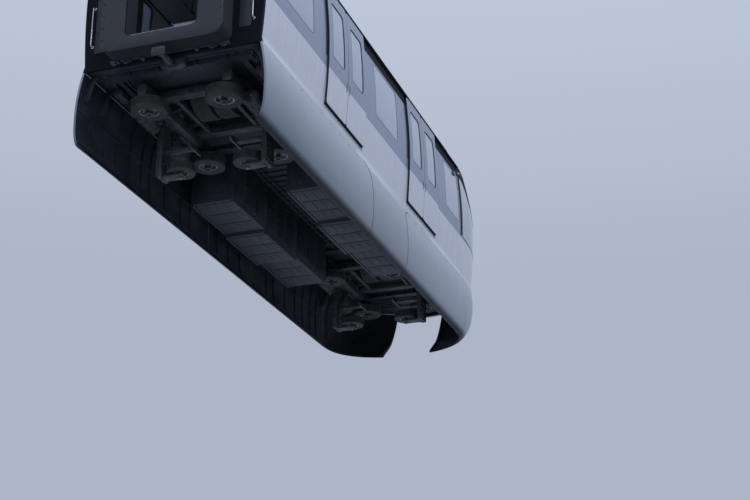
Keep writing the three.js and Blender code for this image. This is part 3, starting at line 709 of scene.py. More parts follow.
class MonorailColours(bpy.types.PropertyGroup):
    """Colours that a user may change"""

    silver: colour_property("Silver", "Body paint above the seam", "#b8bbc4")
    band: colour_property("Band", "Painted band behind the windows", "#757e91")
    skirt: colour_property("Skirt", "Paint of the panels below the seam", "#9298a3")
    # Darkens the skirt towards its bottom: partly road dirt, partly painted shade
    road_film_and_shade: colour_property("Road film", "Dirt that dulls the skirt", "#505c67")
    # The foot's near-black is painted shade, where the skirt curls under
    foot_shade: colour_property("Foot", "Coating along the foot of the skirt", "#0b131f")
    # Also the end wall's near-black, which is painted shade, and in part painted shade along the roof's edges
    roof_edge: colour_property("Roof edge", "Dark paint along the roof's edges", "#070a12")
    roof: colour_property("Roof", "Roof paint", "#8d949c")
    # Pale, so the panes show in part a painted reflection of the sky
    glass: colour_property("Glass", "Tint of the glass", "#99a5bb")
    # Near-black partly as painted shade under the car
    underside: colour_property("Underside", "Coating under the floor", "#10161f")
    rubber: colour_property("Rubber", "Seals and bellows", "#14161b")
    seats: colour_property("Seats", "Seat shells", "#2c5b8c")
    ground: colour_property("Ground", "Plain floor of the stage", "#c9ccd0")
    sky: colour_property("Sky", "Plain backdrop light", "#adb5c6")


def sizes():
    return bpy.context.scene.monorail_sizes


def colours():
    return bpy.context.scene.monorail_colours


def body_paint():
    """Silver two-pack polyurethane on aluminium, with the blue-grey band masked and sprayed over it."""
    m = wet_paint("Silver polyurethane paint", colours().silver, 0.36, 0.25)
    plain = m.shader.inputs["Base Color"].links[0].from_socket
    low, band = sizes().band_low, colours().band
    share = m.add("MapRange", m.add("SeparateXYZ", m.place, output="Z"), low - MM, low + MM)
    clouds = m.add("TexNoise", m.at(800, (2, 1, 1)), 1.0, 3.0, NOISE_ROUGHNESS)
    sprayed = m.add("Mix", clouds, band, shade(band, 1.12), data_type="RGBA")
    m.set(Base_Color=m.add("Mix", share, plain, sprayed, data_type="RGBA"))
    return m


def skirt_paint():
    """Grey two-pack polyurethane on glass-fibre covers: satin under its dirt, darker towards the bottom with
    painted shade, and a near-black foot of painted shade where it curls under.
    """
    return wet_paint("Grey polyurethane paint", colours().skirt, 0.42, 0.1)


def dark_paint_and_shade():
    """Black fluoropolymer paint, fully matt: it stays dark at a slant, where gloss would mirror the sky. Its
    near-black is also painted shade: all over the end wall, and in part along the roof's edges.
    """
    base = colours().roof_edge
    return mottled("Matt fluoropolymer paint", base, shade(base, 1.6), (0.75, 0.9), 300, 5.0, (3, 1, 1),
                   (0.5, 0.9), (5, 0.1, 4.0, 1.0), IOR=1.42, Specular_IOR_Level=0.25)


def roof_paint():
    """Coating with grit rolled in against slipping: matt, sooty. Real grit is 0.5 mm, here 4 mm to show."""
    base = colours().roof
    return mottled("Anti-slip roof coating", base, shade(base, 0.55), (0.6, 0.85), 700, 5.0, (3, 1, 1),
                   (0.35, 0.75), (4, 0.6, 2.0, 0.5), IOR=1.5)


def tinted_glass():
    """Float glass with a vapour-coated sun screen: mirrors the sky at a slant and dims what is behind. Its
    pale colour, where it does not transmit, is in part painted reflection of the sky.
    """
    m = new_material("Coated float glass", IOR=1.8, Transmission_Weight=0.45, Roughness=0.03, Coat_Weight=1.0,
                     Coat_Roughness=0.02)
    tint_and_sky_reflection = colours().glass
    wiped = m.add("TexNoise", m.at(500, (0.5, 1, 3)), 1.0, 4.0, NOISE_ROUGHNESS)
    waves = m.add("TexNoise", m.at(350), 1.0, 2.0, NOISE_ROUGHNESS)
    m.set(Base_Color=m.add("Mix", wiped, tint_and_sky_reflection, shade(tint_and_sky_reflection, 1.15), data_type="RGBA"),
          Normal=m.add("Bump", 0.4, 0.4 * MM, None, waves))
    return m


def bellows_cloth():
    """Woven polyester coated with rubber: matt, a fine twill, paler with dust on the top folds."""
    m = new_material("Rubber-coated polyester", IOR=1.5)
    # Real threads are 1 mm, drawn 8 mm wide to show
    weave = m.add("TexWave", m.place, 1 / (8 * MM) / (2 * pi), output="Fac", bands_direction="DIAGONAL")
    top = m.add("MapRange", m.add("SeparateXYZ", m.place, output="Z"), 0.9, 2.4)
    blown = m.add("TexNoise", m.at(200, (1, 1, 2)), 1.0, 5.0, NOISE_ROUGHNESS)
    dust = m.add("Math", top, blown, operation="MULTIPLY")
    m.set(Base_Color=m.add("Mix", dust, linear("#11141b"), linear("#4a4a55"), data_type="RGBA"),
          Roughness=m.add("MapRange", dust, 0, 0.6, 0.7, 0.9),
          Normal=m.add("Bump", 0.4, 0.3 * MM, None, weave))
    return m


def brushed_steel():
    """Brushed stainless tube: bright lines along the tube, fingerprints that dull it."""
    m = new_material("Brushed stainless steel", Metallic=1.0, Base_Color=linear("#c3c6c8"))
    brushed = m.add("TexNoise", m.at(1.5, (60, 1, 1)), 1.0, 2.0, NOISE_ROUGHNESS)
    marks = m.add("TexNoise", m.at(60), 1.0, 4.0, NOISE_ROUGHNESS)
    m.set(Roughness=m.add("MapRange", marks, 0.3, 0.8, 0.2, 0.38),
          Normal=m.add("Bump", 0.3, 0.05 * MM, None, brushed))
    return m


def floor_vinyl():
    """Homogeneous vinyl with coloured chips: grey, flecked, slightly polished by feet."""
    m = new_material("Chipped vinyl flooring", IOR=1.52)
    chips = m.add("TexVoronoi", m.place, 1 / (9 * MM), output="Distance")
    worn = m.add("TexNoise", m.at(500), 1.0, 3.0, NOISE_ROUGHNESS)
    m.set(Base_Color=m.add("Mix", chips, linear("#565d66"), linear("#3c424a"), data_type="RGBA"),
          Roughness=m.add("MapRange", worn, 0.3, 0.7, 0.45, 0.65))
    return m


def lamp_lens():
    """Clear moulded polycarbonate over a bright reflector, fluted to spread the beam."""
    m = new_material("Moulded polycarbonate", IOR=1.58, Transmission_Weight=0.85, Coat_Weight=0.5,
                     Base_Color=linear("#dfe6ea"))
    flutes = m.add("TexWave", m.place, 1 / (12 * MM) / (2 * pi), output="Fac", bands_direction="Y")
    haze = m.add("TexNoise", m.at(50), 1.0, 4.0, NOISE_ROUGHNESS)
    m.set(Normal=m.add("Bump", 0.5, 0.6 * MM, None, flutes),
          Roughness=m.add("MapRange", haze, 0.3, 0.8, 0.05, 0.15))
    return m


def seal_rubber():
    """Extruded EPDM: dense black, slightly chalky where the weather has been at it."""
    return mottled("Extruded EPDM rubber", colours().rubber, "#262a31", (0.55, 0.8), 50, 4.0, (3, 1, 1),
                   (0.5, 0.9), (3, 0.2, 2.0, 0.3), IOR=1.5)


def underbody_coat_and_shade():
    """Bitumen sprayed thick over steel and aluminium: near-black, lumpy, greyed by dust in patches. Its
    near-black is partly painted shade, under the car where the ground would light it.
    """
    return mottled("Bitumen underbody coat", colours().underside, "#272b30", (0.55, 0.85), 350, 6.0,
                   (2, 1, 1), (0.45, 0.8), (12, 1.2, 3.0, 0.4), IOR=1.55)


def moulded_seat():
    """Glass-fibre seat shells with a gel coat: clean gloss, worn duller in patches."""
    base = colours().seats
    return mottled("Gel-coated glass fibre", base, shade(base, 1.3), (0.3, 0.5), 120,
                   skin=(8, 0.2, 4.0, 0.3), IOR=1.5, Coat_Weight=0.3)


def cast_steel():
    """Cast and welded steel under grey enamel: sand-cast skin, with patches of brake dust and grease."""
    return mottled("Enamelled cast steel", "#3b4046", "#2a221c", (0.45, 0.75), 120, 6.0, share=(0.35, 0.7),
                   skin=(5, 0.5, 3.0, 0.5), IOR=1.5, Metallic=0.2)


def zinc_plate():
    """Zinc-plated steel bolts: pale metal, dulled in patches."""
    return mottled("Zinc-plated steel", "#9aa0a6", "#5d6266", (0.3, 0.55), 20, Metallic=1.0)


def tyre_rubber():
    """Vulcanised natural rubber: grey-black, matt, dusty in clouds, with a pebbled skin."""
    return mottled("Vulcanised tyre rubber", "#17181a", "#3a3936", (0.7, 0.92), 90, 5.0, share=(0.4, 0.8),
                   skin=(9, 0.5, 4.0, 0.5), IOR=1.52)


def cast_aluminium():
    """Gravity-cast aluminium rims: pale, faintly grainy, with black brake dust."""
    return mottled("Gravity-cast aluminium", "#8f9498", "#2c2a28", (0.4, 0.7), 80, 6.0, share=(0.4, 0.75),
                   skin=(2, 0.2, 4.0, 1.0), Metallic=0.9)


def moulded_plastic():
    """Injection-moulded ABS with a fine spark-eroded grain: dark and satin."""
    return mottled("Moulded ABS", "#23272e", "#2f343c", (0.4, 0.55), 300, 3.0, skin=(3, 0.15, 2.0, 0.4),
                   IOR=1.53)


def red_lens():
    """Red moulded polycarbonate of the tail lamps: clear gloss, its red slightly uneven."""
    return mottled("Moulded red polycarbonate", "#7d0f12", "#a3161a", (0.12, 0.22), 30, 3.0, IOR=1.58,
                   Coat_Weight=0.5)


def frame_aluminium():
    """Extruded aluminium under black powder coat: satin, a fine orange peel."""
    return mottled("Powder-coated aluminium", "#1b1f26", "#2c3138", (0.45, 0.6), 200,
                   skin=(3, 0.15, 4.0, 0.4), IOR=1.5)


def melamine_lining():
    """Melamine laminate on the cabin walls: pale, satin, faintly mottled print."""
    return mottled("Melamine laminate", "#c3c6c6", "#d6d8d6", (0.35, 0.5), 20, 3.0, IOR=1.5)


def grey_seal():
    """Grey silicone drawn round the fixed panes, level with the panel: matt, near the band's own colour."""
    return mottled("Grey silicone rubber", "#5d6478", "#6d7488", (0.5, 0.7), 50, IOR=1.43)


def mirror_coat():
    """Aluminium vapour on a moulded bowl: a clean mirror, hazed a little by heat."""
    return mottled("Vapour-coated aluminium", "#e4e7e9", "#cdd1d4", (0.05, 0.16), 30, 3.0, Metallic=1.0)


def light_diffuser():
    """Opal acrylic over the lamps inside: milky white, satin, faint yellowing."""
    return mottled("Opal acrylic", "#eef0ee", "#e2e0d2", (0.3, 0.45), 400, 2.0, IOR=1.49,
                   Subsurface_Weight=0.2)


def screen_glass():
    """Dark display glass, chemically etched against glare, with finger marks."""
    return mottled("Etched display glass", "#090b0e", "#14181d", (0.12, 0.3), 40, 5.0, IOR=1.52)


def graphite():
    """Pressed carbon of the current shoes: soft dark grey, polished in streaks along the car."""
    return mottled("Pressed carbon", "#1d1e20", "#34363a", (0.3, 0.55), 20, 4.0, (6, 1, 1), IOR=1.9)


def painted_concrete():
    """Concrete floor under matt paint: pale, even, a breath of variation."""
    base = colours().ground
    m = new_material("Matt painted concrete", Roughness=0.9)
    tone = m.add("TexNoise", m.at(3000), 1.0, 3.0, NOISE_ROUGHNESS)
    m.set(Base_Color=m.add("Mix", tone, base, shade(base, 1.03), data_type="RGBA"))
    return m


# Outlines
def softened(points, radius, steps):
    """A polygon whose corners are rounded off over a distance along each side."""
    points = np.array(points, float)
    before, after = np.roll(points, 1, axis=0), np.roll(points, -1, axis=0)
    rows = []
    for p, a, b in zip(points, before, after):
        reach_a, reach_b = (min(radius, np.linalg.norm(q - p) / 2) for q in (a, b))
        first = p + (a - p) / np.linalg.norm(a - p) * reach_a
        last = p + (b - p) / np.linalg.norm(b - p) * reach_b
        t = np.linspace(0, 1, steps + 1)[:, None]
        rows.append(first * (1 - t) ** 2 + p * 2 * t * (1 - t) + last * t**2)
    return np.vstack(rows)


def rectangle(x_range, z_range, radius=0.0, steps=6):
    (x0, x1), (z0, z1) = x_range, z_range
    corners = [(x0, z0), (x1, z0), (x1, z1), (x0, z1)]
    return softened(corners, radius, steps) if radius else np.array(corners)


def pane_outline(ends, grow=0.0):
    return rectangle((ends[0] - grow, ends[1] + grow), (WINDOW["low"] - grow, WINDOW["high"] + grow),
                     WINDOW["corner"] + grow)


SIDE_SPACING = (9, 0.06)  # a side is straight along the car, so only its height is divided


def on_side(points, side):
    """A loop of x and height, with points added along it, as flat places on a side."""
    return side_flat(subdivided(np.array(points), SIDE_SPACING), side)


def cover_corner(name, spread):
    """The rounded inboard top corner of a bogie cover, from its inboard edge to its top edge."""
    inner = COVERS[name][1]
    way = 1 if name == "rear" else -1
    inner += way * spread
    centre, top = inner - way * COVER_CORNER, SEAM + spread
    turns = np.radians(np.linspace(0, 90, 11))
    return [(centre + way * COVER_CORNER * cos(t), top - COVER_CORNER + COVER_CORNER * sin(t)) for t in turns]


def ring(skin, outer, inner, depth, edge=0.002, step=(0.5, 0.08)):
    """A flat seal or frame between two loops."""
    return sheet(skin, outer, [inner], depth, step, edge)


def mirrored(outline, sign):
    """The outline with its first coordinate on the side that the sign gives."""
    return [(sign * a, b) for a, b in outline]


# Body
def rows_of(skin, boxes, side, depth, edge=0.003, step=(0.5, 0.07), radius=0.0):
    """Sheets on a side for ranges of x and height."""
    return [sheet(skin, on_side(rectangle(x, z, radius), side), (), depth, step, edge) for x, z in boxes]


def screws(skin, places, size):
    """Round screw heads on a surface, at flat places."""
    kit = Kit()
    places = np.array(places, float)
    for point, normal in zip(skin.at(places, 0), skin.normals(places)):
        point, normal = Vector(point), Vector(normal)
        kit.rod(point - normal * 0.002, point + normal * size * 0.18, size / 2, 12, 0.0, size * 0.42)
    return kit


SIDE_LAMP_X = 4.40
SIDE_LAMP = (
    # Half length, lower and upper edge, depths, rounding
    ("side_lamp_base", (0.05, 2.36, 2.446), (-0.002, 0.012), 0.003, seal_rubber),
    ("side_lamp", (0.04, 2.37, 2.438), (0.010, 0.036), 0.010, lamp_lens),
)


def build_side_walls():
    for side in SIDES:
        skin = SIDE_SKINS[side]
        low, high, foot = REAR + WALL, MASK - GAP / 2, SEAM + GAP / 2
        rear_corner, front_corner = (cover_corner(name, GAP / 2) for name in COVERS)
        outline = [
            (low, foot), *rear_corner[::-1], (rear_corner[0][0], BOTTOM), (front_corner[0][0], BOTTOM),
            *front_corner, (high, foot), (high, CANT), (low, CANT),
        ]
        heights = (FLOOR + 0.002, CANT - 0.04)
        doorways = [rectangle((x - DOOR_CLEAR, x + DOOR_CLEAR), heights, 0.05) for x in DOORWAYS.values()]
        panes = [pane_outline(ends) for ends in PANES.values()]
        holes = [on_side(hole, side) for hole in panes + doorways]
        wall = sheet(skin, on_side(outline, side), holes, (-0.036, 0.0))
        lay(f"wall_{side}", [wall], body_paint, f"side_wall_{side}", underbody_coat_and_shade)
        start = low + 0.004
        inner = rectangle((start, high), (FLOOR + 0.004, CANT - 0.01))
        holes = [pane_outline(ends, 0.012) for ends in PANES.values()]
        reach = DOOR_CLEAR + 0.02
        holes += [
            rectangle((x - reach, x + reach), (FLOOR + 0.05, CANT - 0.06), 0.05) for x in DOORWAYS.values()
        ]
        lining = sheet(skin, on_side(inner, side), [on_side(h, side) for h in holes], (-WALL, -0.038))
        lay(f"lining_{side}", [lining], melamine_lining)
        ribs = [((x - 0.02, x + 0.02), (-1.0, 0.17)) for x in (-0.55, -0.05, 0.45)]
        ribs += [((-0.84, 0.96), (z, z + 0.04)) for z in (-0.98, -0.42)]
        ribs = rows_of(skin, ribs, side, (-SKIRT - 0.028, -SKIRT + 0.003))
        lay(f"wall_ribs_{side}", ribs, underbody_coat_and_shade)
        for name, (half, foot, head), depth, edge, material in SIDE_LAMP:
            box = ((SIDE_LAMP_X - half, SIDE_LAMP_X + half), (foot, head))
            lay(f"{name}_{side}", rows_of(skin, [box], side, depth, edge, (0.2, 0.05), 0.02), material)


def build_panes():
    for side in SIDES:
        skin = SIDE_SKINS[side]
        seals = []
        for name, ends in PANES.items():
            glass = sheet(skin, on_side(pane_outline(ends, -0.003), side), (), (-0.013, -0.003), edge=0.001)
            lay(f"pane_{name}_{side}", [glass], tinted_glass, f"window_{name}_{side}")
            outer, inner = (on_side(pane_outline(ends, grow), side) for grow in (0.004, -sizes().gasket))
            seals.append(ring(skin, outer, inner, (-0.03, 0.0015), 0.001))
        lay(f"pane_seals_{side}", seals, grey_seal)


COVER_RIBS = {
    "rear": (-5.15, -4.65, -4.25, -3.85, -3.45, -3.15, -2.62, -2.0, -1.65),
    "front": (1.7, 2.05, 2.62, 3.15, 3.55, 3.95, 4.28),
}
COVER_SEAL = 0.009  # half its width
COVER_SCREWS = {"rows": (0.13, -1.0), "spacing": 0.42, "size": 0.026}


def build_covers():
    for side, sign in SIDES.items():
        skin = SIDE_SKINS[side]
        for name, (end, _) in COVERS.items():
            corner = cover_corner(name, -GAP / 2)
            end += 0.002 if name == "rear" else -GAP / 2
            outline = [(end, BOTTOM), (corner[0][0], BOTTOM), *corner, (end, SEAM - GAP / 2)]
            cover = sheet(skin, on_side(outline, side), (), (-SKIRT, 0))
            node = f"bogie_cover_{name}_{side}"
            lay(f"cover_{name}_{side}", [cover], skirt_paint, node, underbody_coat_and_shade)
            low, high = sorted((end, corner[0][0]))
            ribs = [((x - 0.018, x + 0.018), (-1.0, 0.17)) for x in COVER_RIBS[name]]
            ribs += [((low + 0.03, high - 0.03), (z, z + 0.036)) for z in (-0.98, -0.42)]
            ribs = rows_of(skin, ribs, side, (-SKIRT - 0.026, -SKIRT + 0.003))
            lay(f"cover_ribs_{name}_{side}", ribs, underbody_coat_and_shade)
            lips = [cover_corner(name, spread) for spread in (COVER_SEAL, -COVER_SEAL)]
            lips = [[(lip[0][0], FOOT_SHADE_HEIGHTS[0]), *lip] for lip in lips]
            seal = sheet(skin, on_side(lips[0] + lips[1][::-1], side), (), (-0.004, 0.0015), edge=0.001)
            lay(f"cover_seal_{name}_{side}", [seal], seal_rubber)
            count = round((high - low - 0.5) / COVER_SCREWS["spacing"])
            across = np.linspace(low + 0.25, high - 0.25, count + 1)
            places = [(x, z) for z in COVER_SCREWS["rows"] for x in across]
            kit = screws(skin, side_flat(places, side), COVER_SCREWS["size"])
            kit.object(f"cover_screws_{name}_{side}", zinc_plate)
            build_hangers(name, side, sign)


HANGER = (
    # Y and height of the bracket, then of the pad against the cover
    ((1.29, SILL - 0.001), (1.41, SILL - 0.001), (1.42, 0.19), (1.455, 0.17), (1.49, 0.02), (1.515, -0.16),
     (1.49, -0.2), (1.44, -0.17), (1.40, 0.02)),
    ((1.48, 0.0), (1.51, 0.0), (1.54, -0.2), (1.50, -0.2)),
)


def build_hangers(name, side, sign):
    kit = Kit()
    for x in HANGERS[name]:
        for outline, half in zip(HANGER, (0.006, 0.04)):
            kit.prism(mirrored(outline, sign), "x", x - half, x + half, 0.002)
        for y, z in ((1.475, -0.05), (1.50, -0.15)):
            kit.bolt((x + 0.02, sign * y, z), "y", BOLT, -sign)
        kit.block((x - 0.05, sign * 1.29, SILL - 0.012), (x + 0.05, sign * 1.40, SILL - 0.001), 0.002)
        kit.bolt((x + 0.03, sign * 1.34, SILL - 0.012), "z", BOLT, -1)
    kit.object(f"cover_hangers_{name}_{side}", underbody_coat_and_shade, "underframe_paint")


GUTTER = 0.042  # how far the rain gutter stands out ahead of and behind the door rail
ROOF_STEP = (0.4, 0.08)  # longest sides of a panel's outline, along and round
LIGHT_STRIP = {"y": 0.62, "half": 0.07}


def build_roof():
    low, high = REAR + WALL, MASK - GAP / 2
    edge_down, cant_down = down_to(ROOF_EDGE), down_to(CANT + 0.001)
    joints = np.linspace(low, high, 6)
    panels = []
    for a, b in zip(joints, joints[1:]):
        outline = rectangle((a + 0.002, b - 0.002), (-edge_down + 0.001, edge_down - 0.001))
        panels.append(sheet(ROOF_SKIN, subdivided(outline, ROOF_STEP), (), (-WALL, 0), (0.5, 0.08)))
    lay("roof_panels", panels, roof_paint, "roof")
    edges = []
    for sign in SIGNS:
        around = sorted((sign * edge_down, sign * cant_down))
        outline = subdivided(rectangle((low, high), around), (0.4, 0.05))
        edges.append(sheet(ROOF_SKIN, outline, (), (-WALL, 0), (0.5, 0.05)))
        rail = sorted((sign * down_to(DOOR_RAIL["low"]), sign * down_to(DOOR_RAIL["high"])))
        start, end = DOOR_RAIL["ends"]
        rails = ((start, end), DOOR_RAIL["reach"]), ((low, start), GUTTER), ((end, high), GUTTER)
        for ends, reach in rails:
            outline = subdivided(rectangle(ends, rail), (0.4, 0.05))
            edges.append(sheet(ROOF_SKIN, outline, (), (-0.02, reach), (0.5, 0.02), 0.004))
    # The edges' near-black is dark paint, and in part painted shade
    lay("roof_edges", edges, dark_paint_and_shade)

    ceiling = rectangle((low + 0.01, high - 0.01), (-cant_down + 0.02, cant_down - 0.02))
    ceiling = subdivided(ceiling, ROOF_STEP)
    strips = []
    for sign in SIGNS:
        y, half = sign * LIGHT_STRIP["y"], LIGHT_STRIP["half"]
        strip = rectangle((low + 0.3, high - 0.3), (y - half, y + half), 0.03, 3)
        strips.append(subdivided(strip, ROOF_STEP))
    panel = sheet(ROOF_SKIN, ceiling, strips, (-0.078, -0.062), (0.6, 0.12), 0.002)
    lay("ceiling", [panel], melamine_lining)
    strips = [moved_in(turned(strip, 1), 0.003) for strip in strips]
    lights = [sheet(ROOF_SKIN, strip, (), (-0.084, -0.066), (0.6, 0.12), 0.002) for strip in strips]
    lay("ceiling_lights", lights, light_diffuser)


# Air-conditioning unit on the roof
UNIT = {"half": 0.9, "shoulder": 3.14, "top": 3.23, "slope": 0.11, "ends": (-1.9, 1.9), "rake": 0.32}
FAN = {"places": (-0.9, 0.9), "radius": 0.33, "floor": 3.17, "blades": 7}
GRILLES = ((-1.55, -0.62), (-0.5, 0.5), (0.62, 1.55))
HANDLE = ((-0.05, -0.01), (-0.045, 0.025), (-0.02, 0.04), (0.02, 0.04), (0.045, 0.025), (0.05, -0.01))


def roof_height(y):
    """Height of the roof at a distance from its middle."""
    return float(np.interp(abs(y), SECTION_LINE[:, 0][:SECTION_STEPS], SECTION_LINE[:, 1][:SECTION_STEPS]))


def build_unit_casing():
    kit = Kit()
    half, top, slope = UNIT["half"], UNIT["top"], UNIT["slope"]
    rings = []
    for z, inset in ((2.985, 0.0), (UNIT["shoulder"], 0.0), (top - 0.012, slope - 0.012), (top, slope)):
        rake = (z - 2.9) / (top - 2.9) * UNIT["rake"]
        x_range, y = (UNIT["ends"][0] + rake, UNIT["ends"][1] - rake), half - inset
        rings.append([(px, py, z) for px, py in rectangle(x_range, (-y, y), 0.05, 4)])
    rings[0] = [(x, y, roof_height(y) - 0.004) for x, y, _ in rings[0]]
    kit.solid(rings)
    casing = kit.object("air_unit_casing", skirt_paint, "roof_paint", "air_conditioning_unit")
    wells = Kit()
    for x in FAN["places"]:
        wells.rod((x, 0, FAN["floor"]), (x, 0, top + 0.1), FAN["radius"], 48)
    cut_out(casing, wells)


def build_unit_fans():
    guards, blades = Kit(), Kit()
    top = UNIT["top"]
    for x in FAN["places"]:
        heights = (top - 0.03, top + 0.006)
        rims = ([[(x + a, b, z) for a, b in circle(48, FAN["radius"] + grow)] for z in heights]
                for grow in (0.03, -0.004))
        guards.tube_wall(*rims, 0.002)
        for r in np.linspace(0.07, FAN["radius"] - 0.02, 6):
            guards.pipe([(x + a, b, top - 0.004) for a, b in circle(48, r)], 0.0035, 6, True)
        for a, b in circle(8):
            spoke = [(x + a * r, b * r, top - 0.006) for r in (0.04, FAN["radius"] - 0.002)]
            guards.rod(*spoke, 0.004, 8)
        guards.rod((x, 0, top - 0.012), (x, 0, top + 0.002), 0.06, 24, 0.003)
        blades.rod((x, 0, FAN["floor"] + 0.002), (x, 0, top - 0.018), 0.075, 24, 0.004)
        for k in range(FAN["blades"]):
            turn = 2 * pi * k / FAN["blades"]
            blades.fan_blade((x, 0, FAN["floor"] + 0.022), turn, 0.07, FAN["radius"] - 0.025)
    guards.object("air_unit_guards", frame_aluminium)
    blades.object("air_unit_fans", moulded_plastic)


def build_unit_grilles():
    grilles = Kit()
    half, top = UNIT["half"], UNIT["top"]
    z0, z1 = 3.0, 3.115
    for sign, (x0, x1) in product(SIGNS, GRILLES):
        y = half + 0.002
        for a, b, c, d in ((x0, x1, z0, z0 + 0.01), (x0, x1, z1 - 0.01, z1), (x0, x0 + 0.012, z0, z1),
                           (x1 - 0.012, x1, z0, z1)):
            grilles.block((a, sign * (y - 0.006), c), (b, sign * (y + 0.004), d), 0.001)
        for z in np.linspace(z0 + 0.018, z1 - 0.022, 6):
            slat = ((y - 0.008, z + 0.010), (y - 0.006, z + 0.012), (y + 0.003, z), (y + 0.001, z - 0.002))
            grilles.prism(mirrored(slat, sign), "x", x0 + 0.01, x1 - 0.01)
    grilles.bolts(np.linspace(-1.5, 1.5, 11), (-0.83, 0.83), [top - 0.025], "z")
    for x, y in product((-0.3, 0.3), (-0.6, 0.6)):
        grilles.pipe([(x + a, y, top + b) for a, b in HANDLE], 0.008)
    for y in (-0.02, 0.02):
        grilles.block((-0.42, y - 0.004, top - 0.002), (0.42, y + 0.004, top + 0.006), 0.001)
    grilles.object("air_unit_grilles", frame_aluminium)


def cut_out(item, kit):
    mesh = bpy.data.meshes.new("cutter")
    kit.mesh.to_mesh(mesh)
    kit.mesh.free()
    tool = bpy.data.objects.new("cutter", mesh)
    bpy.context.scene.collection.objects.link(tool)
    modifier = item.modifiers.new("cut", "BOOLEAN")
    modifier.operation = "DIFFERENCE"
    modifier.solver = "EXACT"
    modifier.object = tool
    with bpy.context.temp_override(object=item, active_object=item, selected_objects=[item]):
        bpy.ops.object.modifier_apply(modifier=modifier.name)
    bpy.data.objects.remove(tool)
    bpy.data.meshes.remove(mesh)
    item.data.polygons.foreach_set("use_smooth", [True] * len(item.data.polygons))
    item.data.set_sharp_from_angle(angle=Kit.SMOOTH_UNDER)


# Nose
NOSE_STEP = (0.1, 0.06)
NOSE_SPACING = np.array((0.08, 0.06))


def band_outline(inset):
    """The glass band's loop on the nose, moved in by a distance."""
    (foot_x, foot_z), front_low, front_high = BAND_FRONT
    half = np.vstack([nose_flat([(foot_x, foot_z)]), *(nose_flat([point]) for point in BAND)])
    top, foot = -down_to(front_high), -down_to(front_low)
    loop = np.vstack([[(0, foot)], half, [(0, top)], half[::-1] * (-1, 1)])
    loop = turned(subdivided(softened(loop, 0.09, 5), NOSE_SPACING), 1)
    return moved_in(loop, inset) if inset else loop


def lamp_outline(sign, inset):
    loop = softened([(sign * y, z) for y, z in LAMP], 0.05, 5)
    loop = turned(nose_flat_front(subdivided(loop, (0.06, 0.06))), 1)
    return moved_in(loop, inset) if inset else loop


def along_nose(points, sign, out):
    """Places and outward directions on the nose for points seen from the front, moved out by a distance."""
    flat = nose_flat_front([(sign * y, z) for y, z in points])
    return [(Vector(p), Vector(n)) for p, n in zip(NOSE_SKIN.at(flat, out), NOSE_SKIN.normals(flat))]


# X and height of the dark edge between the doors and the glass
DARK_EDGE = (
    (4.704, 1.11), (4.764, 1.11), (4.764, 2.585), (4.95, 2.672), (5.30, 2.674), (5.42, 2.70), (5.20, 2.80),
    (4.95, 2.84), (4.80, 2.86), (4.704, 2.86),
)


def build_nose():
    foot = SEAM + GAP / 2
    side_line = nose_flat([(MASK + GAP / 2, foot)])[0]
    outline = rectangle((-side_line[0], side_line[0]), (-down_to(foot), 0))
    holes = [band_outline(0.0), *(lamp_outline(sign, 0.0) for sign in SIGNS)]
    mask = sheet(NOSE_SKIN, subdivided(outline, NOSE_SPACING), holes, (-WALL, 0), NOSE_STEP)
    lay("nose_mask", [mask], body_paint, "nose", moulded_plastic)
    edges = [subdivided(nose_flat(DARK_EDGE, sign), NOSE_SPACING / 2) for sign in SIGNS]
    edges = [sheet(NOSE_SKIN, edge, (), (-0.01, 0.004), (0.05, 0.03), 0.002) for edge in edges]
    lay("nose_edges", edges, dark_paint_and_shade)


# Black borders on the glass, x and height from the side: the raked corner pillar and the edge by the doors
PILLAR = (
    (4.81, 2.553), (4.81, 2.51), (5.00, 2.50), (5.14, 2.44), (5.30, 2.34), (5.45, 2.20), (5.64, 2.05),
    (5.82, 1.89), (6.02, 1.70), (6.22, 1.35), (6.36, 1.05), (6.46, 1.05), (6.33, 1.35), (6.13, 1.70),
    (5.97, 1.89), (5.83, 2.05), (5.70, 2.20), (5.58, 2.37), (5.47, 2.50), (5.36, 2.615), (4.95, 2.615),
)
SIDE_BORDER = ((4.80, 1.16), (4.85, 1.16), (4.85, 2.509), (4.80, 2.509))
POST = ((1.15, 0.92), (1.05, 2.74), (0.95, 2.74), (1.05, 0.92))  # y and height, from the front
WIPERS = ((-0.62, 0.02), (0.10, 0.74))  # y of the pivot and of the arm's end


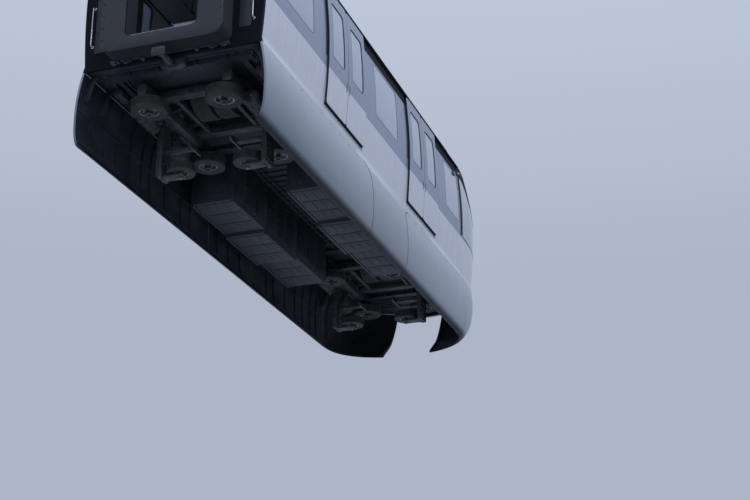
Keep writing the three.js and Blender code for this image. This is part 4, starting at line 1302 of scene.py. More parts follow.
def build_windscreen():
    glass = sheet(NOSE_SKIN, band_outline(0.004), (), (-0.013, -0.003), NOSE_STEP, 0.001)
    lay("windscreen_glass", [glass], tinted_glass, "windscreen")
    seals = [ring(NOSE_SKIN, band_outline(-0.004), band_outline(0.018), (-0.03, 0.002), 0.001, NOSE_STEP)]
    lay("windscreen_seals", seals, seal_rubber)
    borders, posts = [], []
    for sign in SIGNS:
        for line in (PILLAR, SIDE_BORDER):
            strip = subdivided(turned(nose_flat(line, sign), 1), NOSE_SPACING)
            borders.append(sheet(NOSE_SKIN, strip, (), (-0.006, 0.0006), (0.06, 0.06), 0.0005))
        post = subdivided(np.array(mirrored(POST, sign)), (0.05, 0.05))
        posts.append(sheet(NOSE_SKIN, nose_flat_front(post), (), (-0.06, -0.032), NOSE_STEP, 0.004))
    lay("windscreen_borders", borders, dark_paint_and_shade)
    lay("windscreen_posts", posts, moulded_plastic)
    wipers, blades = Kit(), Kit()
    for start, end in WIPERS:
        pivot, at_pivot = along_nose([(start, 0.945)], 1, 0.0)[0]
        wipers.rod(pivot - at_pivot * 0.01, pivot + at_pivot * 0.035, 0.026, 20, 0.003)
        arm = [(start + (end - start) * t, 0.945 + 0.40 * t) for t in np.linspace(0, 1, 8)]
        arm = along_nose(arm, 1, 0.028)
        wipers.pipe([place for place, _ in arm], 0.008)
        blade = along_nose([(end + 0.36 * t, 1.345 + 0.22 * t) for t in np.linspace(-1, 1, 9)], 1, 0.014)
        blades.pipe([place - way * 0.008 for place, way in blade], 0.006, 6)
        wipers.pipe([place + way * 0.004 for place, way in blade], 0.006, 6)
    wipers.object("wiper_arms", frame_aluminium)
    blades.object("wiper_blades", seal_rubber)


LAMP_BOWLS = ((0.735, 0.716, 0.050), (0.865, 0.722, 0.050), (0.985, 0.730, 0.046))  # y, height and radius
TAIL_LAMPS = ((1.06, 0.705), (1.085, 0.755), (1.115, 0.705))
LAMP_STEP = (0.06, 0.04)


def build_headlamps():
    for side, sign in SIDES.items():
        lens = sheet(NOSE_SKIN, lamp_outline(sign, 0.003), (), (-0.009, -0.004), LAMP_STEP, 0.002)
        lay(f"headlamp_lens_{side}", [lens], lamp_lens, f"headlamp_{side}")
        rim, inner = (lamp_outline(sign, inset) for inset in (0.0005, 0.006))
        bed = sheet(NOSE_SKIN, lamp_outline(sign, 0.001), (), (-0.046, -0.040), LAMP_STEP, 0.002)
        wall = ring(NOSE_SKIN, rim, inner, (-0.046, -0.003), 0.0005, LAMP_STEP)
        lay(f"headlamp_bed_{side}", [bed, wall], moulded_plastic)
        bowls, bulbs, tails = Kit(), Kit(), Kit()
        for y, z, radius in LAMP_BOWLS:
            place, ahead = along_nose([(y, z)], sign, 0.0)[0]
            bowls.bowl(place - ahead * 0.039, ahead, radius, 0.026)
            bulbs.rod(place - ahead * 0.037, place - ahead * 0.022, 0.010, 16, 0.003)
        for place, ahead in along_nose(TAIL_LAMPS, sign, 0.0):
            tails.rod(place - ahead * 0.041, place - ahead * 0.020, 0.021, 20, 0.003)
        bowls.object(f"headlamp_bowls_{side}", mirror_coat)
        bulbs.object(f"headlamp_emitters_{side}", light_diffuser)
        tails.object(f"tail_lamps_{side}", red_lens)


APRON_SCREWS = ((4.78, 0.13), (5.6, 0.13), (6.2, 0.13), (4.78, -0.98), (5.2, -0.98))  # x and height


def build_apron():
    top = SEAM - GAP / 2
    ends = nose_flat([(MASK + GAP / 2, z) for z in np.linspace(BOTTOM, top, 20)])
    half, low = SLOT
    slot_side = nose_flat_front([(half, z) for z in np.linspace(low, BOTTOM, 16)])
    loop = np.vstack([ends * (-1, 1), [(0, -down_to(top))], ends[::-1], slot_side[::-1], slot_side * (-1, 1)])
    loop = subdivided(turned(loop, 1), NOSE_SPACING)
    apron = sheet(NOSE_SKIN, loop, (), (-SKIRT, 0), NOSE_STEP)
    lay("apron", [apron], skirt_paint, "nose_apron", underbody_coat_and_shade)
    ribs, places = [], []
    depth = (-SKIRT - 0.024, -SKIRT + 0.003)
    for sign in SIGNS:
        for x in (4.9, 5.35, 5.8):
            line = nose_flat([(x, z) for z in np.linspace(-0.80, 0.15, 14)], sign)
            strip = np.vstack([line + (0.018, 0), line[::-1] - (0.018, 0)])
            ribs.append(sheet(NOSE_SKIN, strip, (), depth, NOSE_STEP, 0.003))
        strip = np.vstack([slot_side + (0.08, 0), slot_side[::-1] + (0.03, 0)]) * (sign, 1)
        ribs.append(sheet(NOSE_SKIN, strip, (), depth, NOSE_STEP, 0.003))
        places += nose_flat(APRON_SCREWS, sign).tolist()
    lay("apron_ribs", ribs, underbody_coat_and_shade)
    screws(NOSE_SKIN, places, COVER_SCREWS["size"]).object("apron_screws", zinc_plate)


# Rear end
def half_section(low, high, inset):
    """Half widths and heights of the body's section between two heights, from the top down."""
    line = SECTION_LINE[(SECTION_LINE[:, 1] < high) & (SECTION_LINE[:, 1] > low)][::6]
    top = (float(np.interp(down_to(high), DOWN, SECTION_LINE[:, 0])), high)
    foot = (float(np.interp(down_to(low), DOWN, SECTION_LINE[:, 0])), low)
    rows = np.array([top, *line, foot])
    return rows - (inset, 0)


END_SKIN = Skin(lambda along, up: np.stack(np.broadcast_arrays(REAR, -along, up), axis=-1))


HANDLES = ((0.62, 1.3), (1.5, 2.2))
SOCKETS = (-0.92, -0.72, 0.72, 0.92)


def build_rear_end():
    right = half_section(SEAM + GAP / 2, 3.028, 0.002)
    outline = np.vstack([right * (-1, 1), right[::-1]])
    half, top = PASSAGE["half"], PASSAGE["high"]
    doorway = rectangle((-half, half), (PASSAGE["low"], top), PASSAGE["corner"])
    wall = sheet(END_SKIN, outline, [doorway], (-WALL + 0.001, 0.0), (0.25, 0.2), 0.006)
    # The end wall's near-black paint is painted shade
    lay("end_wall", [wall], dark_paint_and_shade, "rear_end_wall", melamine_lining)
    kit, rails, sockets = Kit(), Kit(), Kit()
    x = REAR
    face = x - 0.001
    for y in (-1.22, 1.22):
        kit.block((x - 0.012, y - 0.1, 0.5), (face, y + 0.1, 2.4))
        kit.bolts([x - 0.012], (y - 0.08, y + 0.08), np.linspace(0.56, 2.34, 7), "x", 0.014, -1)
    for z in (2.72, 2.78):
        kit.block((x - 0.010, -0.95, z), (face, 0.95, z + 0.02), 0.003)
    for y in np.linspace(-0.9, 0.9, 5):
        kit.block((x - 0.014, y - 0.014, 2.60), (face, y + 0.014, 2.82), 0.003)
    kit.object("end_frames", frame_aluminium)

    for y, (low, high) in product((-1.36, 1.36), HANDLES):
        half_bend = ((face, low), (x - 0.045, low), (x - 0.06, low + 0.015))
        bend = [*half_bend, *((a, low + high - z) for a, z in reversed(half_bend))]
        rails.pipe([(a, y, z) for a, z in bend], 0.011, 12)
        for z in (low, high):
            rails.rod((x - 0.006, y, z), (face, y, z), 0.024, 16, 0.002)
    rails.object("end_handles", brushed_steel)

    for y in SOCKETS:
        sockets.block((x - 0.075, y - 0.075, 0.235), (face, y + 0.075, 0.27), 0.006)
        sockets.block((x - 0.06, y - 0.065, 0.275), (face, y + 0.065, 0.285), 0.003)
        sockets.rod((x - 0.07, y, 0.238), (x - 0.045, y, 0.222), 0.045, 24, 0.004)
        sockets.bolts([x - 0.05], (y - 0.06, y + 0.06), [0.27], "z", 0.012)
    for y in (-0.45, 0.45):
        sockets.rod((x - 0.055, y, 0.25), (face, y, 0.25), 0.035, 24, 0.004)
        sockets.rod((x - 0.075, y, 0.25), (x - 0.055, y, 0.25), 0.026, 24, 0.004)
    sockets.object("end_sockets", cast_steel)

    inner_skin = Skin(lambda along, up: np.stack(np.broadcast_arrays(REAR + WALL, along, up), axis=-1))
    around = rectangle((-half - 0.06, half + 0.06), (0.40, top + 0.06), 0.12)
    lining = ring(inner_skin, around, doorway, (0.0005, 0.012), 0.004, (0.3, 0.2))
    lay("doorway_frame", [lining], brushed_steel)


GANGWAY = {"half": 0.6, "low": 0.47, "high": 2.36, "frame": 0.038, "valley": 0.055, "corner": 0.19}


def upright_ring(x, y_range, z_range, radius):
    """A rounded rectangle that stands across the car."""
    return [(x, y, z) for y, z in rectangle(y_range, z_range, radius, 8)]


def build_bellows():
    """Folds of coated cloth between two clamping frames, round the gangway's passage."""
    (x0, y0, z0), (x1, y1, z1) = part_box("gangway_bellows")
    half, low, high, frame_depth, valley, corner = GANGWAY.values()
    folds = sizes().bellows_folds
    start, end = x0 + frame_depth, x1 - frame_depth
    pitch = (end - start) / folds
    outer, inner = [], []
    for step in range(8 * folds + 1):
        x, inset = start + pitch * step / 8, valley * (1 - abs(sin(pi * step / 8)) ** 0.8)
        outer.append(upright_ring(x, (y0 + inset, y1 - inset), (z0 + inset, z1 - inset), corner - inset))
        wide, bulge = half + 0.002, (valley - inset) * 0.3
        inner.append(upright_ring(x, (-wide - bulge, wide + bulge), (low, high + bulge), 0.1))
    kit = Kit()
    kit.tube_wall(outer, inner)
    kit.object("bellows_folds", bellows_cloth, "bellows_rubber", "gangway_bellows")

    kit = Kit()
    for ends in ((x0, start), (end, x1)):
        kit.tube_wall([upright_ring(x, (y0, y1), (z0, z1), corner) for x in ends],
                      [upright_ring(x, (-half, half), (low, high), 0.1) for x in ends], 0.003)
    kit.bolts([x0 + 0.002], np.linspace(y0 + 0.12, y1 - 0.12, 9), (z0 + 0.035, z1 - 0.035), "x", 0.019, -1)
    kit.bolts([x0 + 0.002], (y0 + 0.035, y1 - 0.035), np.linspace(z0 + 0.2, z1 - 0.2, 10), "x", 0.019, -1)
    kit.object("bellows_frames", frame_aluminium)

    plate = Kit()
    plate.block((x0 + 0.004, -0.5, low + 0.001), (x1 + 0.002, 0.5, low + 0.007), 0.002)
    for i, x in enumerate(np.arange(x0 + 0.03, x1 - 0.02, 0.035)):
        for k, y in enumerate(np.arange(-0.46, 0.47, 0.04)):
            turn = 0.7 if (i + k) % 2 else -0.7
            along = Vector((cos(turn), sin(turn), 0)) * 0.012
            centre = Vector((x, y, low + 0.007))
            plate.rod(centre - along, centre + along, 0.0022, 6, 0.0, 0.0012)
    plate.object("bridge_plate", brushed_steel)


COUPLING = (
    # Start and end from the body's rear face, radius and bevel: the bar, its sleeve and its collar
    (-0.37, 0.13, 0.039, 0.003), (-0.15, -0.02, 0.055, 0.008), (-0.34, -0.29, 0.052, 0.006),
)
ANCHOR = ((-0.22, 0.2147), (0.22, 0.2147), (0.20, 0.10), (0.09, 0.06), (-0.09, 0.06), (-0.20, 0.10))


def build_coupling():
    kit, pads = Kit(), Kit()
    x, z = REAR, 0.11
    for start, end, radius, bevel in COUPLING:
        kit.rod((x + start, 0, z), (x + end, 0, z), radius, 32, bevel)
    kit.prism(rectangle((-0.11, 0.11), (0.045, 0.175), 0.02, 4), "x", x - 0.400, x - 0.372, 0.003)
    kit.bolts([x - 0.372], (-0.085, 0.085), (0.07, 0.15), "x", 0.02)
    kit.prism(ANCHOR, "x", x + 0.064, x + 0.164, 0.006)
    kit.bolts([x + 0.064], (-0.16, 0.16), (0.13, 0.18), "x", 0.022, -1)
    for y in (-0.16, 0.16):
        gusset = [(x + 0.164, 0.2147), (x + 0.30, 0.2147), (x + 0.164, 0.10)]
        kit.prism(gusset, "y", y - 0.008, y + 0.008, 0.002)
    kit.object("coupling", cast_steel, "underframe_paint", "coupling_bar")
    for low, high in ((x + 0.020, x + 0.062), (x + 0.166, x + 0.200)):
        pads.rod((low, 0, z), (high, 0, z), 0.068, 40, 0.008)
    pads.object("coupling_pads", seal_rubber)


# Doors
def build_doors():
    for (place, centre), side in product(DOORWAYS.items(), SIDES):
        for half, way in (("rear", -1), ("front", 1)):
            build_leaf(f"door_{place}_{side}_{half}_leaf", centre, side, way)
        build_doorway(place, centre, side)


def build_leaf(body, centre, side, way):
    skin = SIDE_SKINS[side]
    low, high, corner = LEAF["low"], LEAF["high"], LEAF["corner"]
    far_end = centre + way * LEAF["width"]
    start, end = sorted((centre + way * 0.003, far_end))
    window = sorted(far_end - way * x for x in LEAF["window"])
    outline = on_side(rectangle((start + 0.006, end - 0.006), (low + 0.008, high - 0.006), corner), side)
    edge = on_side(rectangle((start, end), (low, high), corner), side)
    hole, glass_edge, seal_out, seal_in = (
        on_side(pane_outline(window, grow), side) for grow in (0, -0.002, 0.001, -0.016)
    )
    leaf = sheet(skin, outline, [hole], LEAF["depth"], (0.3, 0.06), 0.005)
    lay(body + "_panel", [leaf], body_paint, body, melamine_lining, body)
    glass = sheet(skin, glass_edge, (), (0.018, 0.030), (0.3, 0.08), 0.001)
    lay(body + "_glass", [glass], tinted_glass, body=body)
    seals = [ring(skin, seal_out, seal_in, (0.012, 0.040)), ring(skin, edge, outline, (0.010, 0.036))]
    lay(body + "_seals", seals, seal_rubber, body=body)
    pull = centre + way * 0.07
    plate = ((pull - 0.018, pull + 0.018), (1.02, 1.2))
    pulls = rows_of(skin, [plate], side, (0.0415, 0.0435), 0.001, (0.3, 0.06), 0.016)
    lay(body + "_pull", pulls, frame_aluminium, body=body)


def build_doorway(place, centre, side):
    skin = SIDE_SKINS[side]
    start, end = centre - LEAF["width"], centre + LEAF["width"]
    # Black strips on the wall along the rear edge of the leaves and under them: rubber, and in part painted
    # shade of the gap behind the leaves
    strips = [((start - 0.062, start + 0.03), (1.3, CANT - 0.005)), ((start, end), (0.395, 0.446))]
    strips = rows_of(skin, strips, side, (-0.002, 0.004), 0.001, (0.5, 0.06), 0.015)
    lay(f"doorway_shade_strips_{place}_{side}", strips, seal_rubber)
    lip = rows_of(skin, [((start, end), (0.378, 0.394))], side, (-0.002, 0.012), 0.003, (0.5, 0.06), 0.004)
    lay(f"doorway_step_{place}_{side}", lip, brushed_steel)
    kit = Kit()
    # The tread's plate, then its ridges: half length, range of y, heights over the floor, bevel
    tread = [(0.80, (1.34, 1.425), (0.0005, 0.006), 0.002)]
    tread += [(0.79, (y - 0.0015, y + 0.0015), (0.005, 0.009), 0.0005) for y in np.linspace(1.352, 1.414, 6)]
    for reach, (y0, y1), (z0, z1), bevel in tread:
        y0, y1 = y0 * SIDES[side], y1 * SIDES[side]
        kit.block((centre - reach, y0, FLOOR + z0), (centre + reach, y1, FLOOR + z1), bevel)
    kit.object(f"doorway_tread_{place}_{side}", brushed_steel)


# Underfloor
PIPES = ((1.20, 0.188, 0.014), (1.24, 0.192, 0.010), (0.985, 0.196, 0.012))  # y, height and radius
RUNS = ((-5.36, -2.19), (2.19, 5.05))
# Y and height of the beams' angle section
LONG_BEAM = (
    (1.02, SILL - 0.001), (1.02, 0.15), (1.10, 0.15), (1.10, 0.158), (1.028, 0.158), (1.028, SILL - 0.001),
)
CROSS_MEMBERS = (-5.25, -2.45, 2.45, 5.25)


def build_underframe():
    kit = Kit()
    for sign in SIGNS:
        for start, end in ((-5.18, -2.77), (2.77, 5.18), (5.32, 5.9)):
            kit.prism(mirrored(LONG_BEAM, sign), "x", start, end, 0.001)
        for x, y in product(CROSS_MEMBERS, (0.3, 0.8)):
            web = ((y, 0.136), (y + 0.02, 0.136), (y + 0.02, SILL), (y, SILL))
            kit.prism(mirrored(web, sign), "x", x - 0.11, x - 0.058, 0.001)
    for x in np.arange(-5.4, 6.2, 0.155):
        over_bogie = min(abs(x - b) for b in BOGIES.values()) < 1.32 or abs(x) < 2.2
        if over_bogie or min(abs(x - c) for c in CROSS_MEMBERS) < 0.075:
            continue
        reach = min(1.0, sqrt(max(0.0, 1 - (max(x - 4.9, 0) / 1.9) ** 3)) * 1.3)
        kit.block((x - 0.012, -reach, SILL - 0.022), (x + 0.012, reach, SILL - 0.0005), 0.002)
    for x in np.arange(-2.1, 2.2, 0.21):
        kit.block((x - 0.014, -0.47, SILL - 0.03), (x + 0.014, 0.47, SILL - 0.0005), 0.002)
    for y in (-0.40, -0.30, 0.30, 0.40):
        kit.block((-2.35, y - 0.012, SILL - 0.05), (2.35, y + 0.012, SILL - 0.028), 0.002)
    for dx in (-0.04, 0.04):
        kit.bolts([x + dx for x in CROSS_MEMBERS], np.linspace(-1.15, 1.15, 10), [0.135], "z", 0.018, -1)
    kit.object("underframe_members", underbody_coat_and_shade, "underframe_paint")

    pipes, clamps = Kit(), Kit()
    for sign, (start, end) in product(SIGNS, RUNS):
        for y, z, radius in PIPES:
            pipes.rod((start, sign * y, z), (end, sign * y, z), radius, 12)
            for x in np.arange(start + 0.3, end, 0.62):
                clamps.block((x - 0.015, sign * (y - radius - 0.012), z - radius - 0.004),
                             (x + 0.015, sign * (y + radius + 0.012), SILL - 0.0005), 0.002)
        for x in (start + 0.55, end - 0.6):
            clamps.block((x - 0.14, sign * 1.135, 0.05), (x + 0.14, sign * 1.27, 0.17), 0.008)
            clamps.block((x - 0.125, sign * 1.145, 0.044), (x + 0.125, sign * 1.26, 0.052), 0.003)
            clamps.bolts((x - 0.11, x + 0.11), (sign * 1.16, sign * 1.245), [0.044], "z", 0.012, -1)
    pipes.object("air_pipes", zinc_plate)
    clamps.object("pipe_clamps", cast_steel)

    pads = Kit()
    pads.bolts((-2.73, -2.57, 2.57, 2.73), (-1.21, -1.09, 1.09, 1.21), [0.1925], "z", 0.016, -1)
    pads.object("lifting_pad_bolts", zinc_plate)


CASES = (
    # Ends, underside
    ((-2.15, -0.74), -0.64), ((-0.76, 0.66), -0.70), ((0.64, 2.15), -0.62),
)
CASE_SIDES = (0.48, 1.28)
LIDS = 3


def build_cases():
    for side, sign in SIDES.items():
        shells, fittings = Kit(), Kit()
        for (start, end), low in CASES:
            build_case(shells, fittings, sign, start, end, low)
        shells.object(f"case_shells_{side}", underbody_coat_and_shade, "underframe_paint", f"equipment_cases_{side}")
        fittings.object(f"case_fittings_{side}", zinc_plate)


def build_case(shells, fittings, sign, start, end, low):
    inner, outer = (sign * y for y in CASE_SIDES)
    top = SILL - 0.0006
    shells.block((start, inner, low), (end, outer, top), 0.014)
    width = (end - start - 0.12) / LIDS
    for k in range(LIDS):
        x0 = start + 0.075 + width * k
        x1 = x0 + width - 0.03
        z0, z1 = low + 0.07, top - 0.10
        for face, way in ((inner, -sign), (outer, sign)):
            shells.block((x0, face - way * 0.01, z0), (x1, face + way * 0.012, z1), 0.006)
            heights = (z0 + 0.03, (z0 + z1) / 2, z1 - 0.03)
            fittings.bolts((x0 + 0.022, x1 - 0.022), [face + way * 0.012], heights, "y", 0.014, way)
            if face == inner or k == 1:
                for z in np.linspace(z0 + 0.12, z1 - 0.12, 9):
                    y_in, y_out = face + way * 0.010, face + way * 0.022
                    slat = [(y_in, z + 0.014), (y_in, z - 0.004), (y_out, z - 0.012), (y_out, z - 0.008)]
                    shells.prism(slat, "x", x0 + 0.06, x1 - 0.06)
        y0, y1 = inner + sign * 0.06, outer - sign * 0.06
        shells.block((x0, y0, low - 0.010), (x1, y1, low + 0.01), 0.005)
        rows = (y0 + sign * 0.022, y1 - sign * 0.022)
        fittings.bolts(np.linspace(x0 + 0.03, x1 - 0.03, 4), rows, [low - 0.010], "z", 0.014, -1)
        for y in np.linspace(y0 + sign * 0.18, y1 - sign * 0.18, 3):
            shells.block((x0 + 0.06, y - 0.016, low - 0.017), (x1 - 0.06, y + 0.016, low), 0.005)
    for y in (inner + sign * 0.03, outer - sign * 0.03):
        shells.block((start + 0.01, y - 0.022, low - 0.022), (end - 0.01, y + 0.022, low + 0.01), 0.005)
    for x, way in ((start, -1), (end, 1)):
        y0, y1 = inner + sign * 0.10, outer - sign * 0.10
        shells.block((x - way * 0.01, y0, low + 0.10), (x + way * 0.010, y1, top - 0.14), 0.005)
        for y in np.linspace(inner + sign * 0.16, inner + sign * 0.64, 5):
            for a, b, radius, sides in ((0.006, 0.030, 0.021, 6), (0.028, 0.045, 0.015, 16)):
                fittings.rod((x + way * a, y, top - 0.10), (x + way * b, y, top - 0.10), radius, sides, 0.002)
        across = np.linspace(inner + sign * 0.13, outer - sign * 0.13, 5)
        fittings.bolts([x + way * 0.010], across, (low + 0.13, top - 0.17), "x", 0.014, way)


# Bogies
FRAME_BLOCKS = (
    # Ranges of x, y and z of the left half from the bogie's middle, and the bevel of the welded edges
    ((-1.18, 1.18), (0.64, 0.80), (-0.07, 0.12), 0.016),
    ((-0.74, 0.74), (0.387, 0.457), (0.055, 0.15), 0.010),
    ((-0.15, 0.15), (0.86, 0.93), (-0.98, 0.06), 0.012),
    ((-0.17, 0.17), (0.78, 0.925), (-0.055, 0.095), 0.014),
    ((-0.09, 0.09), (0.51, 0.90), (-0.98, -0.94), 0.008),
    ((-0.09, 0.09), (0.51, 0.90), (-0.763, -0.723), 0.008),
    ((-0.06, 0.06), (0.375, 0.90), (-0.54, -0.49), 0.008),
    ((0.30, 0.64), (0.76, 0.96), (-0.11, 0.04), 0.012),
    ((-0.675, -0.625), (0.77, 0.90), (-0.18, -0.03), 0.008),
    ((-0.385, -0.335), (0.77, 0.90), (-0.18, -0.03), 0.008),
    # Stiffeners of the leg
    ((-0.155, 0.155), (0.925, 0.95), (-0.908, -0.892), 0.003),
    ((-0.155, 0.155), (0.925, 0.95), (-0.628, -0.612), 0.003),
    ((-0.155, 0.155), (0.925, 0.95), (-0.348, -0.332), 0.003),
    ((-0.153, -0.137), (0.925, 0.955), (-0.97, -0.06), 0.003),
    ((0.137, 0.153), (0.925, 0.955), (-0.97, -0.06), 0.003),
)
FRAME_PLATES = (
    # Outline in y and height, places along the bogie, half thickness: ribs, then the leg's gussets
    (((0.455, 0.06), (0.65, 0.02), (0.65, 0.11), (0.455, 0.14)), (-0.55, -0.3, 0.3, 0.55), 0.006),
    (((0.80, -0.05), (0.86, -0.30), (0.865, -0.30), (0.93, -0.06), (0.93, 0.05), (0.80, 0.05)),
     (-0.19, 0.19), 0.007),
)
BEARING_PLATE = ((-0.13, 0.06), (0.13, 0.06), (0.128, 0.36), (0.10, 0.385), (-0.10, 0.385), (-0.128, 0.36))
AXLE_HEIGHT = 0.475
CROSS_BEAM = {"x": 0.68, "half": (0.08, 0.76), "z": (0.04, 0.17)}
SPRING = {"y": 0.72, "low": 0.118, "high": 0.208, "radius": 0.118}
MOTOR = {"y": 0.985, "z": -0.20, "radius": 0.182, "ends": (0.20, 0.73)}
MOTOR_FINS = 15
RESERVOIR = {"y": 0.95, "z": -0.17, "radius": 0.119, "ends": (-0.78, -0.23), "dome": 0.055}
PIN_CAP = 0.075
SHOE = ((-0.22, -0.545), (-0.16, -0.56), (0.16, -0.56), (0.22, -0.545), (0.22, -0.485), (0.16, -0.47),
        (-0.16, -0.47), (-0.22, -0.485))


def build_bogies():
    for place, x in BOGIES.items():
        welded, springs, fittings, bright = Kit(), Kit(), Kit(), Kit()
        for sign in SIGNS:
            build_bogie_half(welded, springs, fittings, bright, x, sign)
            build_motor(welded, fittings, x, sign)
            build_reservoir(welded, fittings, x, sign)
        (reach, half), (z0, z1) = CROSS_BEAM["half"], CROSS_BEAM["z"]
        for middle in (x - CROSS_BEAM["x"], x + CROSS_BEAM["x"]):
            welded.block((middle - reach, -half, z0), (middle + reach, half, z1), 0.014)
            low, high = middle - reach - 0.004, middle + reach + 0.004
            for y in np.linspace(-0.3, 0.3, 4):
                welded.block((low, y - 0.006, z0 + 0.02), (high, y + 0.006, z1 + 0.004), 0.002)
        body = f"bogie_{place}"
        welded.object(f"bogie_weldment_{place}", cast_steel, "bogie_steel", f"bogie_frame_{place}", body)
        springs.object(f"bogie_springs_{place}", seal_rubber, body=body)
        fittings.object(f"bogie_bolts_{place}", zinc_plate, body=body)
        bright.object(f"bogie_shoes_{place}", graphite, body=body)


def build_bogie_half(welded, springs, fittings, bright, x, sign):
    for (x0, x1), (y0, y1), (z0, z1), bevel in FRAME_BLOCKS:
        welded.block((x + x0, sign * y0, z0), (x + x1, sign * y1, z1), bevel)
    for outline, places, half in FRAME_PLATES:
        for dx in places:
            welded.prism(mirrored(outline, sign), "x", x + dx - half, x + dx + half, 0.001)
    build_bearing(welded, fittings, x, sign)
    along = x + np.linspace(-1.08, 1.08, 10)
    fittings.bolts(along, [sign * 0.80], [0.09], "y", 0.020, sign)
    fittings.bolts(along, [sign * 0.72], [-0.07], "z", 0.020, -1)
    fittings.bolts((x - 0.065, x + 0.065), [sign * 0.93], (-0.96, -0.743), "y", 0.020, sign)
    build_spring(welded, springs, x, sign)
    build_wheel_arms(welded, fittings, x, sign)
    build_shoe(welded, fittings, bright, x, sign)


def build_bearing(welded, fittings, x, sign):
    """The bearing housing round the axle, and the plate that carries it."""
    outer, inner = (
        [[(x + a * wide, sign * y, AXLE_HEIGHT + b * high) for a, b in circle(32)] for y in (0.394, 0.450)]
        for wide, high in ((0.130, 0.118), (0.071, 0.071))
    )
    welded.tube_wall(outer, inner, 0.004)
    welded.prism([(x + a, z) for a, z in BEARING_PLATE], "y", sign * 0.398, sign * 0.446, 0.006)
    for a, b in circle(8, 0.098, pi / 8):
        fittings.bolt((x + a, sign * 0.450, AXLE_HEIGHT + b), "y", 0.016, sign)


def build_spring(welded, springs, x, sign):
    """An air spring with its clamping ring."""
    low, high, r = SPRING["low"], SPRING["high"], SPRING["radius"]
    rows = [(0.03, low), (r * 0.88, low)]
    for t in np.linspace(0, 1, 17).tolist():
        rows.append((r * (0.90 + 0.10 * abs(sin(2 * pi * t)) ** 0.7), low + 0.006 + (high - low - 0.012) * t))
    rows += [(r * 0.88, high), (0.03, high)]
    springs.spun(rows, (x, sign * SPRING["y"], 0), "z", 40)
    welded.rod((x, sign * SPRING["y"], low - 0.01), (x, sign * SPRING["y"], low + 0.004), r, 40, 0.003)


def build_wheel_arms(welded, fittings, x, sign):
    """Arms and pins of the guide wheels, and the pin of the steadying wheel."""
    wheel_radius, wheel_width = WHEELS["guide"][:2]
    z_high = GUIDE["z"] + wheel_width / 2 + 0.015
    z_low = GUIDE["z"] - wheel_width / 2 - 0.022
    pin = BEAM_HALF + wheel_radius
    for px in (x - GUIDE["x"], x + GUIDE["x"]):
        arm = softened(rectangle((px - 0.07, px + 0.07), (pin - 0.07, 0.72)), 0.05, 5)
        welded.prism([(a, sign * b) for a, b in arm], "z", z_high, -0.05, 0.006)
        y = sign * pin
        welded.rod((px, y, GUIDE["z"] - 0.16), (px, y, z_high + 0.02), 0.033, 24)
        welded.rod((px, y, z_low - 0.015), (px, y, z_low + 0.015), PIN_CAP, 32, 0.006)
        for a, b in circle(6, 0.052):
            fittings.bolt((px + a, y + b, z_low - 0.015), "z", 0.014, -1)
        fittings.rod((px, y, z_low - 0.024), (px, y, z_low - 0.013), 0.016, 6, 0.001)
    y = sign * (BEAM_HALF + WHEELS["steadying"][0])
    welded.rod((x, y, STEADY["z"] - 0.12), (x, y, STEADY["z"] + 0.12), 0.033, 24)
    for z, way in ((-0.98, -1), (-0.723, 1)):
        welded.rod((x, y, z), (x, y, z + way * 0.014), 0.052, 32, 0.004)
        fittings.rod((x, y, z + way * 0.012), (x, y, z + way * 0.030), 0.026, 6, 0.002)


def build_shoe(welded, fittings, bright, x, sign):
    """A current shoe: a carbon strip on a sprung arm."""
    bright.prism([(x + a, z) for a, z in SHOE], "y", sign * 0.3495, sign * 0.366, 0.003)
    welded.prism([(x + a, z * 0.98 - 0.0103) for a, z in SHOE], "y", sign * 0.366, sign * 0.379, 0.003)
    fittings.bolts((x - 0.12, x + 0.12), [sign * 0.379], [-0.515], "y", 0.016, sign)
    fittings.rod((x, sign * 0.379, -0.515), (x, sign * 0.47, -0.515), 0.024, 20)


def build_motor(welded, fittings, x, sign):
    start, end = (x + v for v in MOTOR["ends"])
    y, z, r = sign * MOTOR["y"], MOTOR["z"], MOTOR["radius"]
    foot = r - 0.016
    fins = [(0.05, start)]
    pitch = (end - start) / MOTOR_FINS
    for a in start + pitch * np.arange(MOTOR_FINS):
        fins += [(foot, a), (foot, a + pitch * 0.30), (r, a + pitch * 0.42), (r, a + pitch * 0.88)]
    welded.spun([*fins, (foot, end), (0.05, end)], (0, y, z), "x", 48)
    for low, high, way in ((start, x + 0.172, -1), (end, x + 0.768, 1)):
        welded.rod((low - way * 0.004, y, z), (high, y, z), 0.139, 40, 0.004, 0.112)
        for a, b in circle(8, 0.155, 0.2):
            fittings.bolt((low + way * 0.003, y + a, z + b), "x", 0.016, way)
        welded.rod((high - way * 0.002, y, z), (high + way * 0.010, y, z), 0.05, 24, 0.003)
    face = y + sign * 0.215
    welded.block((x + 0.36, y + sign * 0.10, z - 0.09), (x + 0.56, face, z + 0.06), 0.010)
    fittings.bolts((x + 0.385, x + 0.535), [face], (z - 0.065, z + 0.035), "y", 0.012, sign)
    gland_y = y + sign * 0.16
    for at in (x + 0.42, x + 0.46, x + 0.50):
        fittings.rod((at, gland_y, z - 0.088), (at, gland_y, z - 0.118), 0.014, 16, 0.002)


